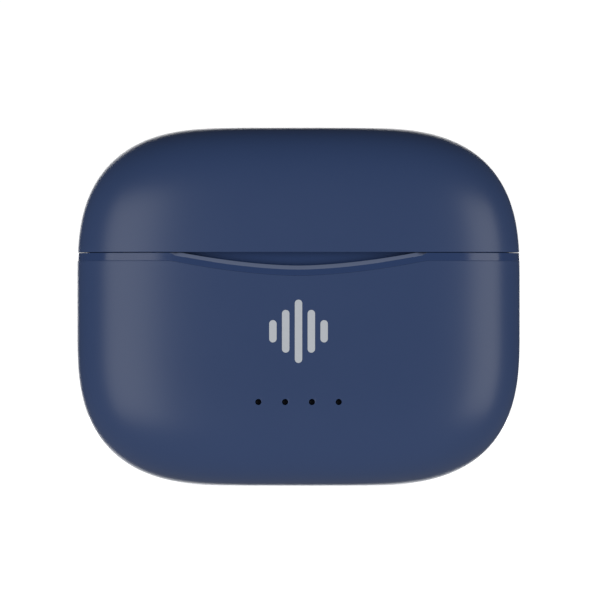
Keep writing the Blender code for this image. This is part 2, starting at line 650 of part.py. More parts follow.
def make_electronics(finishes):
    """Battery, boards, chips, socket, lamps and light guide."""
    centre = BATTERY_AT
    size = BATTERY_SIZE
    low = [centre[axis] - size[axis] / 2 for axis in range(3)]
    high = [centre[axis] + size[axis] / 2 for axis in range(3)]
    cell = box("battery_cell", low, high, finishes["cell"])
    bevel = cell.modifiers.new("round_edges", "BEVEL")
    bevel.width = 0.0010
    bevel.segments = 2
    block("battery_pad", BATTERY_PAD, (0.0, PAD_Y, PAD_Z), finishes["foam"])
    flex = box("battery_flex", (-0.0020, -0.0040, high[2] + GAP), (0.0020, BOARD_BACK + GAP + 0.0003, high[2] + 0.0006),
               finishes["flex"])
    join(flex, box("flex_tail", (-0.0019, BOARD_BACK + GAP, 0.0172), (0.0019, BOARD_BACK + GAP + 0.00025,
                                                                     high[2] + 0.0005), finishes["flex"]))
    board = block("main_board", MAIN_BOARD, (0.0, BOARD_Y, MAIN_BOARD_Z), finishes["board"])
    for side, sign in SIDES:
        place = (sign * BOARD_SCREW_X, 0.0, BOARD_SCREW_Z)
        ends = ((SCREW_HOLE, BOARD_Y - 2 * BOARD_THICK), (SCREW_HOLE, BOARD_Y + 2 * BOARD_THICK))
        hole = turned_mesh("board_hole_" + side, ends, 10, "Y")
        cut(board, add_object(hole.name, hole, finishes["board"], place))
        make_screw("board_screw_" + side, place, BOARD_Y - BOARD_THICK / 2 - GAP, finishes["steel"])
    for name, size, x, z in (("battery_connector", CONNECTOR, 0.0, CONNECTOR_Z),
                             ("control_chip", CONTROL_CHIP, CONTROL_CHIP_X, CHIP_Z),
                             ("charge_chip", CHARGE_CHIP, CHARGE_CHIP_X, CHIP_Z)):
        block(name, size, (x, BOARD_BACK + GAP + size[1] / 2, z), finishes["chip"])

    half_x = SOCKET_X / 2
    half_y = SOCKET_Y / 2
    top = SOCKET_LOW + SOCKET_LONG
    inside = stadium_rings(half_x - SOCKET_WALL, half_y - SOCKET_WALL, (top - SOCKET_WALL, SOCKET_LOW))
    outside = stadium_rings(half_x, half_y, (SOCKET_LOW, top))
    add_object("usb_socket_shell", loft("usb_socket_shell", inside + outside), finishes["steel"])
    tongue = (*TONGUE, top - SOCKET_WALL - GAP - TONGUE_FOOT)
    block("usb_tongue", tongue, (0.0, 0.0, TONGUE_FOOT), finishes["chip"])

    block("indicator_board", LAMP_BOARD, (0.0, LAMP_BOARD_Y, LAMP_BOARD_Z), finishes["board"])
    block("light_guide", LIGHT_GUIDE, (0.0, GUIDE_Y, LAMP_Z - LIGHT_GUIDE[2] / 2), finishes["guide"])
    for index in range(4):
        x = (index - 1.5) * LAMP_PITCH
        block("lamp_%d" % (index + 1), LAMP, (x, LAMP_Y, LAMP_Z - LAMP[2] / 2), finishes["lamp"])


def make_button(finishes):
    """The button cap at the back, with its flange and stem, and the switch on the board."""
    profile = ((0.0010, BUTTON_STEM_Y), (0.0010, BUTTON_FLANGE_Y), (0.0033, BUTTON_FLANGE_Y),
               (0.0033, BUTTON_FLANGE_Y + 0.0008), (BUTTON_RADIUS, BUTTON_FLANGE_Y + 0.0008),
               (BUTTON_RADIUS, BUTTON_FACE_Y - 0.0002), (BUTTON_RADIUS - 0.0002, BUTTON_FACE_Y))
    from_face = tuple((radius, y - BUTTON_FACE_Y) for radius, y in profile)
    mesh = turned_mesh("button_cap", from_face, 24, "Y")
    add_object("button_cap", mesh, finishes["shell"], (0.0, BUTTON_FACE_Y, BUTTON_Z))
    block("button_switch", SWITCH, (0.0, BOARD_BACK + GAP + SWITCH[1] / 2, BUTTON_Z - SWITCH[2] / 2), finishes["chip"])


def main():
    """Clear the scene and build the whole case."""
    for obj in list(bpy.data.objects):
        bpy.data.objects.remove(obj)
    finishes = make_materials()
    make_base_shell(finishes)
    make_tray(finishes)
    make_seats(finishes)
    make_magnets(finishes)
    make_spring_pins(finishes)
    make_electronics(finishes)
    make_button(finishes)
    make_hinge_base(finishes)
    make_lid(finishes)


main()
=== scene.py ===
"""Looks of an upright, pebble-shaped wireless earbuds case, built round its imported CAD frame.

The covers, tray, seats, lid liner, hinge, screws, button, charging port, light guide and spring
contacts are fine meshes that stand for the plain CAD nodes. All sizes are in metres, in the
frame's own axes: the front faces -Y, +X is to the right and +Z is up.
"""
import json
import logging
import math
from dataclasses import dataclass, fields
from enum import Enum
from functools import partial
from typing import Any, Callable, ClassVar, Sequence, Union

import bmesh
import bpy
import numpy as np
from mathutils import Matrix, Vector

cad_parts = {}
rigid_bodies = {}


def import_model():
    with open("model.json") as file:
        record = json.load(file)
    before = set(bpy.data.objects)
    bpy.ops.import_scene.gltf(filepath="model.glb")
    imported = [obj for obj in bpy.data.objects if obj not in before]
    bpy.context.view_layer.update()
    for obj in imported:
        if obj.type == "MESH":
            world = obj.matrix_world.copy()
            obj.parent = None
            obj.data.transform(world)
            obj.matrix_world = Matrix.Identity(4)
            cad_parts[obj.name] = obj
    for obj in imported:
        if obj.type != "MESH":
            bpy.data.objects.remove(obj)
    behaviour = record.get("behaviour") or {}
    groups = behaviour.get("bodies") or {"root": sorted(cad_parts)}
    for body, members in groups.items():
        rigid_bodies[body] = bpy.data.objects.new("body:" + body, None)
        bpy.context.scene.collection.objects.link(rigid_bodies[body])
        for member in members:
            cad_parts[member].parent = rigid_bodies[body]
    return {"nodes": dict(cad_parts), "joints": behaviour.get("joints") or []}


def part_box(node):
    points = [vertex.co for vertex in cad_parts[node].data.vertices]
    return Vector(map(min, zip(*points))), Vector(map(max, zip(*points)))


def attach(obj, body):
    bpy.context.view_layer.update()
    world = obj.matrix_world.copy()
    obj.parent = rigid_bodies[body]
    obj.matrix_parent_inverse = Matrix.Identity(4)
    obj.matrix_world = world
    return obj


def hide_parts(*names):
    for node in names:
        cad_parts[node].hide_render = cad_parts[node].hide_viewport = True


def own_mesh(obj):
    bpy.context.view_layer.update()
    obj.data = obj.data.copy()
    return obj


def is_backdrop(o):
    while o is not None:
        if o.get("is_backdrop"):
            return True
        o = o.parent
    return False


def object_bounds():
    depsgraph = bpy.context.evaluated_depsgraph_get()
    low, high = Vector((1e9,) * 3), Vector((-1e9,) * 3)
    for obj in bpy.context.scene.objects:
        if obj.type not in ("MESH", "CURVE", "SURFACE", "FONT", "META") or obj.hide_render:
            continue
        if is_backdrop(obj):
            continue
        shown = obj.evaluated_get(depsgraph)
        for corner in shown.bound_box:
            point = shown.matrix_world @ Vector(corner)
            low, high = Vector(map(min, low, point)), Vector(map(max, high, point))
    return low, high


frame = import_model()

LOG = logging.getLogger("earbuds_case")
MM = 0.001
SIDES = {"left": -1.0, "right": 1.0}
LAMPS = ("lamp_1", "lamp_2", "lamp_3", "lamp_4")
PINS = ("left_inner", "left_outer", "right_inner", "right_outer")
FINE, MEDIUM, SMALL, TINY = 96, 48, 32, 24  # How many sides turned pieces have
MERGE_WITHIN = 2e-7
Value = Union[float, np.ndarray, "Expr"]
Colour = tuple[float, float, float]
Profile = Sequence[tuple[float, float]]
HeightRule = Callable[[np.ndarray, np.ndarray], np.ndarray]


# Node trees and expressions

def _operator(operation: str, swapped: bool = False) -> Callable[..., "Expr"]:
    """A Python operator on expressions that adds a Math node."""
    def apply(self: "Expr", *other: Value) -> "Expr":
        """Add the node, with the expression last if the operator is swapped."""
        values = (*other, self) if swapped else (self, *other)
        return self.graph.math(operation, *values)
    return apply


class Expr:
    """A node's output socket that takes part in Python expressions on single values."""

    __add__ = _operator("ADD")
    __radd__ = _operator("ADD", swapped=True)
    __sub__ = _operator("SUBTRACT")
    __rsub__ = _operator("SUBTRACT", swapped=True)
    __mul__ = _operator("MULTIPLY")
    __rmul__ = _operator("MULTIPLY", swapped=True)
    __truediv__ = _operator("DIVIDE")
    __rtruediv__ = _operator("DIVIDE", swapped=True)
    __pow__ = _operator("POWER")
    __abs__ = _operator("ABSOLUTE")

    def __init__(self, graph: "Graph", socket: bpy.types.NodeSocket | None) -> None:
        """Wrap an output socket of a graph's tree."""
        self.graph = graph
        self.socket = socket

    def out(self, name: str) -> "Expr":
        """Another output of the same node."""
        return Expr(self.graph, self.socket.node.outputs[name])


class Graph:
    """A node tree with one way to add any node."""

    def __init__(self, tree: bpy.types.NodeTree) -> None:
        """Wrap a shader or geometry node tree."""
        self.tree = tree

    def node(self, kind: str, sockets: dict[str | int, Any] | None = None, output: str | int = 0,
             **settings: Any) -> Expr:
        """Add a node, set it up and feed its sockets.

        Args:
            kind: The node's type.
            sockets: Values or links of the node's inputs, by name or number.
            output: The output to hand back.
            **settings: Values of the node's properties.

        Returns:
            The chosen output as an expression.
        """
        made = self.tree.nodes.new(kind)
        for name, value in settings.items():
            setattr(made, name, value)
        for key, value in (sockets or {}).items():
            if isinstance(value, Expr):
                self.tree.links.new(value.socket, made.inputs[key])
            else:
                made.inputs[key].default_value = value
        return Expr(self, made.outputs[output] if made.outputs else None)

    def math(self, operation: str, *values: Value) -> Expr:
        """Add a Math node on values or expressions."""
        return self.node("ShaderNodeMath", dict(enumerate(values)), operation=operation)

    def vector(self, x: Value = 0.0, y: Value = 0.0, z: Value = 0.0) -> Expr:
        """A vector from its three parts."""
        return self.node("ShaderNodeCombineXYZ", {0: x, 1: y, 2: z})

    def link(self, source: Expr, node: bpy.types.Node, name: str) -> None:
        """Link an expression into a node's input."""
        self.tree.links.new(source.socket, node.inputs[name])


def worked(operation: str, ordinary: Callable[..., Any], *values: Value) -> Value:
    """Work out a function on sockets if any value is a socket, else on numbers.

    Args:
        operation: The Math node's operation.
        ordinary: The same function on numbers and arrays.
        *values: What the function takes.

    Returns:
        An expression, a number or an array.
    """
    for value in values:
        if isinstance(value, Expr):
            return value.graph.math(operation, *values)
    return ordinary(*values)


at_least = partial(worked, "MAXIMUM", np.maximum)
at_most = partial(worked, "MINIMUM", np.minimum)
sine = partial(worked, "SINE", np.sin)
cosine = partial(worked, "COSINE", np.cos)
sign = partial(worked, "SIGN", np.sign)


def fold(value: Value) -> Value:
    """A value that runs from 0 up to 1 and back again."""
    return worked("PINGPONG", lambda number, one: 1.0 - abs(number % 2.0 - one), value, 1.0)


def greater(value: Value, limit: Value) -> Value:
    """1 where a value is above a limit, else 0."""
    return worked("GREATER_THAN", lambda a, b: np.where(a > b, 1.0, 0.0), value, limit)


def rounded(reach: Value, power: Value) -> Value:
    """Share of a superellipse corner's width that is left at a share of its height."""
    kept = at_most(at_least(reach, 0.0), 1.0)
    return at_least(1.0 - kept ** power, 0.0) ** (1.0 / power)


# Finishes

class Pattern(Enum):
    """How the tone of a finish varies over a surface."""

    CLOUDY = "cloudy"
    BRUSHED = "brushed"
    CREASED = "creased"


@dataclass(frozen=True)
class Finish:
    """A surface finish and how to make its material.

    Colours are linear. Grain and tone sizes are the width of one feature in metres.
    """

    name: str
    colour: Colour
    roughness: float
    metallic: float = 0.0
    tone_spread: float = 0.04
    tone_size: float = 0.006
    roughness_spread: float = 0.05
    grain_size: float = 0.00025
    grain_height: float = 0.000002
    grain_strength: float = 0.25
    coat: float = 0.0
    pattern: Pattern = Pattern.CLOUDY
    specular: float = 0.5
    coat_roughness: float = 0.08
    brushed_stretch: float = 0.04

    def make(self) -> bpy.types.Material:
        """Build the material once and hand the same one back afterwards."""
        known = bpy.data.materials.get(self.name)
        if known is not None:
            return known
        material = bpy.data.materials.new(self.name)
        material.use_nodes = True
        material.diffuse_color = (*self.colour, 1.0)
        graph = Graph(material.node_tree)
        shader = material.node_tree.nodes["Principled BSDF"]
        levels = {"Metallic": self.metallic, "Specular IOR Level": self.specular, "Coat Weight": self.coat,
                  "Coat Roughness": self.coat_roughness}
        for name, level in levels.items():
            shader.inputs[name].default_value = level
        place = graph.node("ShaderNodeTexCoord", output="Object")
        tone = self._noise(graph, place, self.tone_size, 3.0)
        darker = tuple(part * (1 - self.tone_spread) for part in self.colour)
        lighter = tuple(min(part * (1 + self.tone_spread), 1.0) for part in self.colour)
        ends = {0: tone, 6: (*darker, 1.0), 7: (*lighter, 1.0)}
        graph.link(graph.node("ShaderNodeMix", ends, 2, data_type="RGBA"), shader, "Base Color")
        graph.link(self.roughness + (tone - 0.5) * self.roughness_spread, shader, "Roughness")
        graph.link(self._relief(graph, place), shader, "Normal")
        return material

    def _noise(self, graph: Graph, place: Expr, size: float, detail: float) -> Expr:
        """Noise from 0 to 1 whose features are of a given size, drawn out along X if brushed."""
        stretch = (self.brushed_stretch if self.pattern is Pattern.BRUSHED else 1.0, 1.0, 1.0)
        spot = graph.node("ShaderNodeMapping", {"Vector": place, "Scale": stretch}, vector_type="POINT")
        sockets = {"Vector": spot, "Scale": 1.0 / size, "Detail": detail, "Roughness": 0.55}
        return graph.node("ShaderNodeTexNoise", sockets, "Fac")

    def _relief(self, graph: Graph, place: Expr) -> Expr:
        """The fine relief of the surface as a bumped normal."""
        if self.pattern is Pattern.CREASED:
            height = graph.node("ShaderNodeTexVoronoi", {"Vector": place, "Scale": 1.0 / self.grain_size},
                                "Distance", feature="DISTANCE_TO_EDGE")
        else:
            height = self._noise(graph, place, self.grain_size, 2.0)
        return graph.node("ShaderNodeBump", {"Height": height, "Strength": self.grain_strength,
                                             "Distance": self.grain_height})


SHELL_NAVY = Finish("satin_navy_shell", (0.0290, 0.0520, 0.128), 0.34, tone_spread=0.015,
                    roughness_spread=0.03, specular=0.30)
# A navy a little darker than the shell's: the inner parts' own tone, and in part painted shade on the tray's
# rim band.
INNER_NAVY = Finish("smooth_navy_inner", (0.0235, 0.0440, 0.115), 0.17, tone_spread=0.02,
                    roughness_spread=0.04, grain_height=0.000001, grain_strength=0.12, specular=0.30)
# A lighter navy for the notch's slanted edge: a painted highlight where the edge catches light.
NOTCH_EDGE_HIGHLIGHT_NAVY = Finish("polished_notch_edge", (0.125, 0.155, 0.245), 0.22, tone_spread=0.02, grain_strength=0.1)
MARK_INK = Finish("silver_mark_ink", (0.43, 0.455, 0.49), 0.45, tone_spread=0.03, tone_size=0.0006,
                  grain_size=0.0001)
HINGE_STEEL = Finish("brushed_hinge_steel", (0.46, 0.47, 0.49), 0.30, 1.0, tone_spread=0.10, tone_size=0.0002,
                     roughness_spread=0.12, grain_size=0.0001, pattern=Pattern.BRUSHED)
MAGNET_NICKEL = Finish("plated_magnet", (0.62, 0.60, 0.55), 0.24, 1.0, tone_size=0.002)
CONTACT_GOLD = Finish("gold_contact", (0.80, 0.56, 0.20), 0.22, 1.0, tone_spread=0.06, tone_size=0.001)
BOARD_MASK = Finish("green_solder_mask", (0.012, 0.085, 0.040), 0.38, tone_spread=0.30, tone_size=0.0012,
                    coat=0.3)
FLEX_FILM = Finish("amber_flex_film", (0.42, 0.20, 0.045), 0.35, tone_spread=0.10, tone_size=0.002, coat=0.2)
CHIP_BLACK = Finish("moulded_chip_black", (0.018, 0.018, 0.020), 0.55, tone_spread=0.10, tone_size=0.0008,
                    grain_size=0.0001)
CELL_FOIL = Finish("laminate_cell_foil", (0.42, 0.44, 0.46), 0.38, 0.8, tone_spread=0.08, grain_size=0.0022,
                   grain_height=0.00002, grain_strength=0.35, pattern=Pattern.CREASED)
PAD_FOAM = Finish("black_pad_foam", (0.022, 0.022, 0.024), 0.95, tone_spread=0.25, tone_size=0.0005,
                  grain_size=0.0003, grain_height=0.00006, grain_strength=0.6)
LAMP_RESIN = Finish("clear_lamp_resin", (0.72, 0.72, 0.66), 0.20, coat=0.5)
# Near black with little reflection: on the pips it paints the shade inside the lamp holes.
HOLE_SHADE_GUIDE = Finish("smoked_light_guide", (0.0012, 0.0016, 0.0032), 0.45, tone_spread=0.10, specular=0.05)
PALE_FLOOR = Finish("pale_floor", (0.80, 0.80, 0.80), 0.9, tone_spread=0.01, tone_size=0.2, grain_size=0.01)
METALS = {finish.name for finish in (HINGE_STEEL, MAGNET_NICKEL, CONTACT_GOLD, CELL_FOIL)}


# Mesh helpers

def shade(mesh: bpy.types.Mesh, sharp_over: float = 35.0) -> None:
    """Shade a mesh smooth with edges over an angle in degrees kept sharp."""
    mesh.shade_smooth()
    mesh.set_sharp_from_angle(angle=math.radians(sharp_over))


def outward(mesh: bpy.types.Mesh) -> None:
    """Point every face of a closed mesh outwards."""
    shape = bmesh.new()
    shape.from_mesh(mesh)
    bmesh.ops.recalc_face_normals(shape, faces=shape.faces)
    if shape.calc_volume(signed=True) < 0:
        bmesh.ops.reverse_faces(shape, faces=shape.faces)
    shape.to_mesh(mesh)
    shape.free()


def new_object(name: str, mesh: bpy.types.Mesh, finish: Finish | None = None) -> bpy.types.Object:
    """Link a mesh as an object at the origin, with its finish."""
    made = bpy.data.objects.new(name, mesh)
    bpy.context.scene.collection.objects.link(made)
    if finish is not None:
        mesh.materials.clear()
        mesh.materials.append(finish.make())
    return made


def loft(name: str, rings: Sequence[np.ndarray]) -> bpy.types.Mesh:
    """A closed body through rings of equal length, capped at both ends.

    Args:
        name: The mesh's name.
        rings: Arrays of points, each of shape (count, 3).

    Returns:
        The mesh, with its faces pointing outwards.
    """
    count = len(rings[0])
    faces: list[tuple[int, ...]] = []
    for low in range(0, (len(rings) - 1) * count, count):
        for index in range(count):
            after, high = (index + 1) % count, low + count
            faces.append((low + index, low + after, high + after, high + index))
    faces.append(tuple(range(count)))
    faces.append(tuple(range((len(rings) - 1) * count, len(rings) * count)))
    mesh = bpy.data.meshes.new(name)
    mesh.from_pydata(np.concatenate(rings).tolist(), [], faces)
    outward(mesh)
    return mesh


def turned(name: str, profile: Profile, segments: int, centre: Sequence[float] = (0.0, 0.0, 0.0),
           axis: str = "Z") -> bpy.types.Mesh:
    """A turned body from (radius, height) pairs about an axis through a centre.

    Args:
        name: The mesh's name.
        profile: Radius and height pairs from one end to the other.
        segments: How many sides the body has.
        centre: The place that height 0 has on the axis.
        axis: "X", "Y" or "Z", the way that heights grow.

    Returns:
        The mesh.
    """
    turn = np.linspace(0.0, 2 * math.pi, segments, endpoint=False)
    rings = []
    for radius, height in profile:
        across, over = radius * np.cos(turn), radius * np.sin(turn)
        along = np.full(segments, height)
        order = {"X": (along, across, over), "Y": (across, along, over), "Z": (across, over, along)}[axis]
        rings.append(np.stack(order, axis=1) + np.array(centre))
    return loft(name, rings)


def arc(centre: tuple[float, float], radius: tuple[float, float], start: float, end: float,
        steps: int) -> list[tuple[float, float]]:
    """Points of an elliptical arc in a turned profile, angles in degrees."""
    angles = np.radians(np.linspace(start, end, steps + 1))
    return [(centre[0] + radius[0] * math.cos(a), centre[1] + radius[1] * math.sin(a)) for a in angles]


def stadium(half_x: float, half_y: float, z: float, segments: int = TINY) -> np.ndarray:
    """A loop with round ends along X."""
    angles = math.pi * (np.arange(segments + 1) / segments - 0.5)
    right = np.stack((half_x - half_y + half_y * np.cos(angles), half_y * np.sin(angles)), axis=1)
    outline = np.concatenate((right, -right))
    return np.column_stack((outline, np.full(len(outline), z)))


def block(name: str, low: Sequence[float], high: Sequence[float], edge: float = 0.0,
          segments: int = 2) -> bpy.types.Mesh:
    """A box between two corners with rounded edges."""
    shape = bmesh.new()
    bmesh.ops.create_cube(shape, size=1.0)
    size = [high[i] - low[i] for i in range(3)]
    centre = [(high[i] + low[i]) / 2 for i in range(3)]
    bmesh.ops.scale(shape, vec=size, verts=shape.verts)
    bmesh.ops.translate(shape, vec=centre, verts=shape.verts)
    if edge > 0:
        bmesh.ops.bevel(shape, geom=shape.edges[:], offset=edge, segments=segments, affect="EDGES",
                        profile=0.5)
    mesh = bpy.data.meshes.new(name)
    shape.to_mesh(mesh)
    shape.free()
    return mesh


def settled(obj: bpy.types.Object) -> bpy.types.Object:
    """Turn an object's live modifiers into a plain mesh.

    Args:
        obj: The object, whose modifiers are removed.

    Returns:
        The same object with the evaluated mesh.
    """
    graph = bpy.context.evaluated_depsgraph_get()
    graph.update()
    mesh = bpy.data.meshes.new_from_object(obj.evaluated_get(graph))
    obj.modifiers.clear()
    old = obj.data
    obj.data = mesh
    bpy.data.meshes.remove(old)
    mesh.name = obj.name
    return obj


def combined(obj: bpy.types.Object, operation: str, *tools: bpy.types.Mesh) -> bpy.types.Object:
    """Join meshes to an object, or cut them away from it, with one exact Boolean.

    Args:
        obj: The object to change.
        operation: "UNION" or "DIFFERENCE".
        *tools: Closed meshes that don't touch each other.

    Returns:
        The object, settled.
    """
    shape = bmesh.new()
    for mesh in tools:
        shape.from_mesh(mesh)
    whole = bpy.data.meshes.new("tool")
    shape.to_mesh(whole)
    shape.free()
    tool = new_object("tool", whole)
    step = obj.modifiers.new("boolean", "BOOLEAN")
    step.operation = operation
    step.object = tool
    step.solver = "EXACT"
    settled(obj)
    bpy.data.objects.remove(tool)
    return obj


def fit_out(obj: bpy.types.Object, body: str, slot: str, *nodes: str) -> None:
    """Give a finished piece its body and hide the CAD nodes that it stands for."""
    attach(obj, body)
    if nodes:
        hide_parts(*nodes)
    LOG.info("%s rides on %s with %d faces", obj.name, body, len(obj.data.polygons))


def fit_out_smooth(obj: bpy.types.Object, body: str, slot: str, *nodes: str,
                   sharp_over: float = 35.0) -> None:
    """Shade a finished piece smooth, then fit it out."""
    shade(obj.data, sharp_over)
    fit_out(obj, body, slot, *nodes)


def fit_out_even(obj: bpy.types.Object, body: str, slot: str, *nodes: str,
                 sharp_over: float = 40.0) -> None:
    """Shade a finished piece with normals that follow its larger faces, then fit it out."""
    shade(obj.data, sharp_over)
    step = obj.modifiers.new("even_normals", "WEIGHTED_NORMAL")
    step.keep_sharp = True
    fit_out(settled(obj), body, slot, *nodes)


def centre_of(node: str) -> Vector:
    """The middle of a CAD node."""
    low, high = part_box(node)
    return (low + high) / 2


def pair(stem: str) -> tuple[str, ...]:
    """The names of a left and a right CAD node."""
    return tuple(f"{stem}_{side}" for side in SIDES)


def joint_of(name: str) -> dict[str, Any]:
    """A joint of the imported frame."""
    return next(joint for joint in frame["joints"] if joint["name"] == name)


# Geometry trees

class Rule:
    """A geometry tree with named inputs, whose result becomes a plain mesh."""

    def __init__(self, name: str, inputs: dict[str, str]) -> None:
        """Make the tree with its inputs, by name and kind. A finish is always the last of them."""
        self.tree = bpy.data.node_groups.new(name, "GeometryNodeTree")
        for label, kind in {**inputs, "Finish": "Material"}.items():
            self.tree.interface.new_socket(label, in_out="INPUT", socket_type="NodeSocket" + kind)
        self.tree.interface.new_socket("Geometry", in_out="OUTPUT", socket_type="NodeSocketGeometry")
        self.graph = Graph(self.tree)
        self.given = self.graph.node("NodeGroupInput")

    def hand_out(self, shape: Expr) -> None:
        """End the tree: make instances real, set the material and hand the shape out."""
        solid = self.graph.node("GeometryNodeRealizeInstances", {"Geometry": shape})
        dressed = self.graph.node("GeometryNodeSetMaterial", {"Geometry": solid,
                                                              "Material": self.given.out("Finish")})
        self.graph.node("NodeGroupOutput", {"Geometry": dressed})

    def run(self, name: str, finish: Finish, values: dict[str, Any],
            mesh: bpy.types.Mesh | None = None) -> bpy.types.Object:
        """Make a plain object with the tree.

        Args:
            name: The object's name.
            finish: Its finish.
            values: Values of the inputs, by name.
            mesh: What the tree starts from, or None for nothing.

        Returns:
            The object.
        """
        obj = new_object(name, mesh or bpy.data.meshes.new(name))
        step = obj.modifiers.new("rule", "NODES")
        step.node_group = self.tree
        values = {**values, "Finish": finish.make()}
        for item in self.tree.interface.items_tree:
            if item.in_out == "INPUT" and item.name in values:
                step[item.identifier] = values[item.name]
        return settled(obj)


class Copies(Rule):
    """A geometry tree that sets copies of one piece at the points of its object's mesh."""

    def __init__(self) -> None:
        """Build the tree."""
        super().__init__("copies_at_points", {"Points": "Geometry", "Piece": "Object", "Scale": "Float"})
        piece = self.graph.node("GeometryNodeObjectInfo", {"Object": self.given.out("Piece")}, "Geometry")
        scale = self.graph.vector(*[self.given.out("Scale")] * 3)
        self.hand_out(self.graph.node("GeometryNodeInstanceOnPoints", {
            "Points": self.given.out("Points"), "Instance": piece, "Scale": scale}))

    def set_out(self, name: str, piece: bpy.types.Mesh, places: Sequence[Sequence[float]],
                finish: Finish) -> bpy.types.Object:
        """Copy a piece to several places, as one plain object.

        Args:
            name: The new object's name.
            piece: The piece's mesh, about its own place.
            places: Where the copies go.
            finish: Their finish.

        Returns:
            The object.
        """
        pattern = new_object(name + "_pattern", piece)
        points = bpy.data.meshes.new(name)
        points.from_pydata([tuple(place) for place in places], [], [])
        obj = self.run(name, finish, {"Piece": pattern, "Scale": 1.0}, points)
        bpy.data.objects.remove(pattern)
        return obj


# The pebble form

@dataclass(frozen=True)
class PebbleForm:
    """The outer form as a rule: superellipse corners in front, side and plan view.

    The sizes are numbers, or sockets of a geometry tree that follows the same rule.
    """

    CROWDING: ClassVar[float] = 0.6

    half_x: Value
    half_y: Value
    height: Value
    corner_x: Value = 21.12 * MM
    corner_z: Value = 20.27 * MM
    corner_power: Value = 2.73
    side_corner_y: Value = 8.5 * MM
    side_corner_z: Value = 15.0 * MM
    side_power: Value = 2.5
    plan_power: Value = 3.0

    def _half(self, z: Value, inset: Value, half: Value, corner: tuple[Value, Value],
              power: Value) -> Value:
        """Half a width at a height.

        Args:
            z: The height.
            inset: How far inside the outer surface.
            half: Half the full width.
            corner: The width and the height of the corner that takes part of it away.
            power: The corner's power.

        Returns:
            The half width that is left.
        """
        wide, tall = corner
        reach = (abs(z - self.height / 2) - (self.height / 2 - tall)) / (tall - inset)
        return half - wide + (wide - inset) * rounded(reach, power)

    def half_width(self, z: Value, inset: Value = 0.0) -> Value:
        """Half width at a height, inside a wall of the given inset."""
        return self._half(z, inset, self.half_x, (self.corner_x, self.corner_z), self.corner_power)

    def half_depth(self, z: Value, inset: Value = 0.0) -> Value:
        """Half depth at a height, inside a wall of the given inset."""
        return self._half(z, inset, self.half_y, (self.side_corner_y, self.side_corner_z), self.side_power)

    def outline(self, turn: Value, z: Value, inset: Value = 0.0) -> tuple[Value, Value]:
        """X and Y of the plan outline, with its points crowded towards the corners.

        Args:
            turn: Share of the way round, anticlockwise from +X.
            z: The height.
            inset: How far inside the outer surface.

        Returns:
            X and Y.
        """
        half_x, half_y = self.half_width(z, inset), self.half_depth(z, inset)
        way = fold(turn * 4.0)
        angle = (way - sine(way * (2 * math.pi)) * (self.CROWDING / (2 * math.pi))) * (math.pi / 2)
        power = 2.0 / self.plan_power
        x = half_x * at_least(cosine(angle), 0.0) ** power
        y = half_y * at_least(sine(angle), 0.0) ** power
        return x * sign(cosine(turn * (2 * math.pi))), y * sign(sine(turn * (2 * math.pi)))


@dataclass(frozen=True)
class RimLine:
    """The parting line, with the thumb notch in front and the hinge groove behind."""

    seam: float
    groove_y: float
    groove_slope: float = math.tan(math.radians(52))
    notch_depth: float = 2.0 * MM
    notch_half: float = 17.1 * MM
    notch_power: float = 1.7

    def notch(self, x: Value, y: Value) -> Value:
        """How far the notch lowers the rim in front."""
        reach = at_most(x * x / (self.notch_half * self.notch_half), 1.0) ** (self.notch_power / 2.0)
        return (1.0 - reach) * self.notch_depth * greater(0.0, y)

    def groove(self, y: Value) -> Value:
        """How far the groove moves an edge away from the seam."""
        return at_least(y - self.groove_y, 0.0) * self.groove_slope


@dataclass(frozen=True)
class Walls:
    """Thicknesses and gaps that the moulded pieces share."""

    wall: float = 1.3 * MM
    line_gap: float = 0.04 * MM
    line_drop: float = 0.09 * MM
    band: float = 1.1 * MM
    play: float = 0.15 * MM
    rib: float = 1.0 * MM
    deck: float = 1.3 * MM
    lip_rise: float = 0.6 * MM

    @property
    def fit(self) -> float:
        """Inset of a piece that sits inside a cover."""
        return self.wall + self.play


@dataclass(frozen=True)
class CaseFrame:
    """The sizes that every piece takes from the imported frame."""

    form: PebbleForm
    rim: RimLine
    walls: Walls
    hinge_z: float
    columns: int = 320
    rows: int = 116
    room_half: float = 8.4 * MM
    room_past: float = 2.0 * MM
    room_edge: float = 0.2 * MM

    @classmethod
    def read(cls) -> "CaseFrame":
        """Work the sizes out from the CAD box and the lid's joint."""
        low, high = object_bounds()
        _, hinge_y, hinge_z = joint_of("lid_hinge")["pos_m"]
        form = PebbleForm((high.x - low.x) / 2, (high.y - low.y) / 2, high.z - low.z)
        walls = Walls()
        return cls(form, RimLine(hinge_z - walls.line_drop, hinge_y), walls, hinge_z)

    @property
    def top(self) -> float:
        """Height of the tray's deck and of its band's upper edge."""
        return self.rim.seam - self.walls.line_gap

    def ring(self, inset: float, z: float | HeightRule) -> np.ndarray:
        """One loop of points on the form.

        Args:
            inset: How far inside the outer surface the loop runs.
            z: Its height, or a rule on the X and Y that the loop has at the seam.

        Returns:
            The points, of shape (columns, 3).
        """
        turn = np.arange(self.columns) / self.columns
        if callable(z):
            z = z(*self.form.outline(turn, self.rim.seam, inset))
        heights = np.full(self.columns, 0.0) + z
        return np.stack((*self.form.outline(turn, heights, inset), heights), axis=1)

    def front(self, z: float) -> float:
        """Y of the front surface on the middle line at a height."""
        return -float(self.form.half_depth(z))

    def room(self, front: float, low: float, high: float) -> bpy.types.Mesh:
        """The cutter that leaves room for the hinge, between two heights measured from the seam."""
        half, seam, back = self.room_half, self.rim.seam, self.form.half_y + self.room_past
        return block("room", (-half, front, seam + low), (half, back, seam + high), self.room_edge)


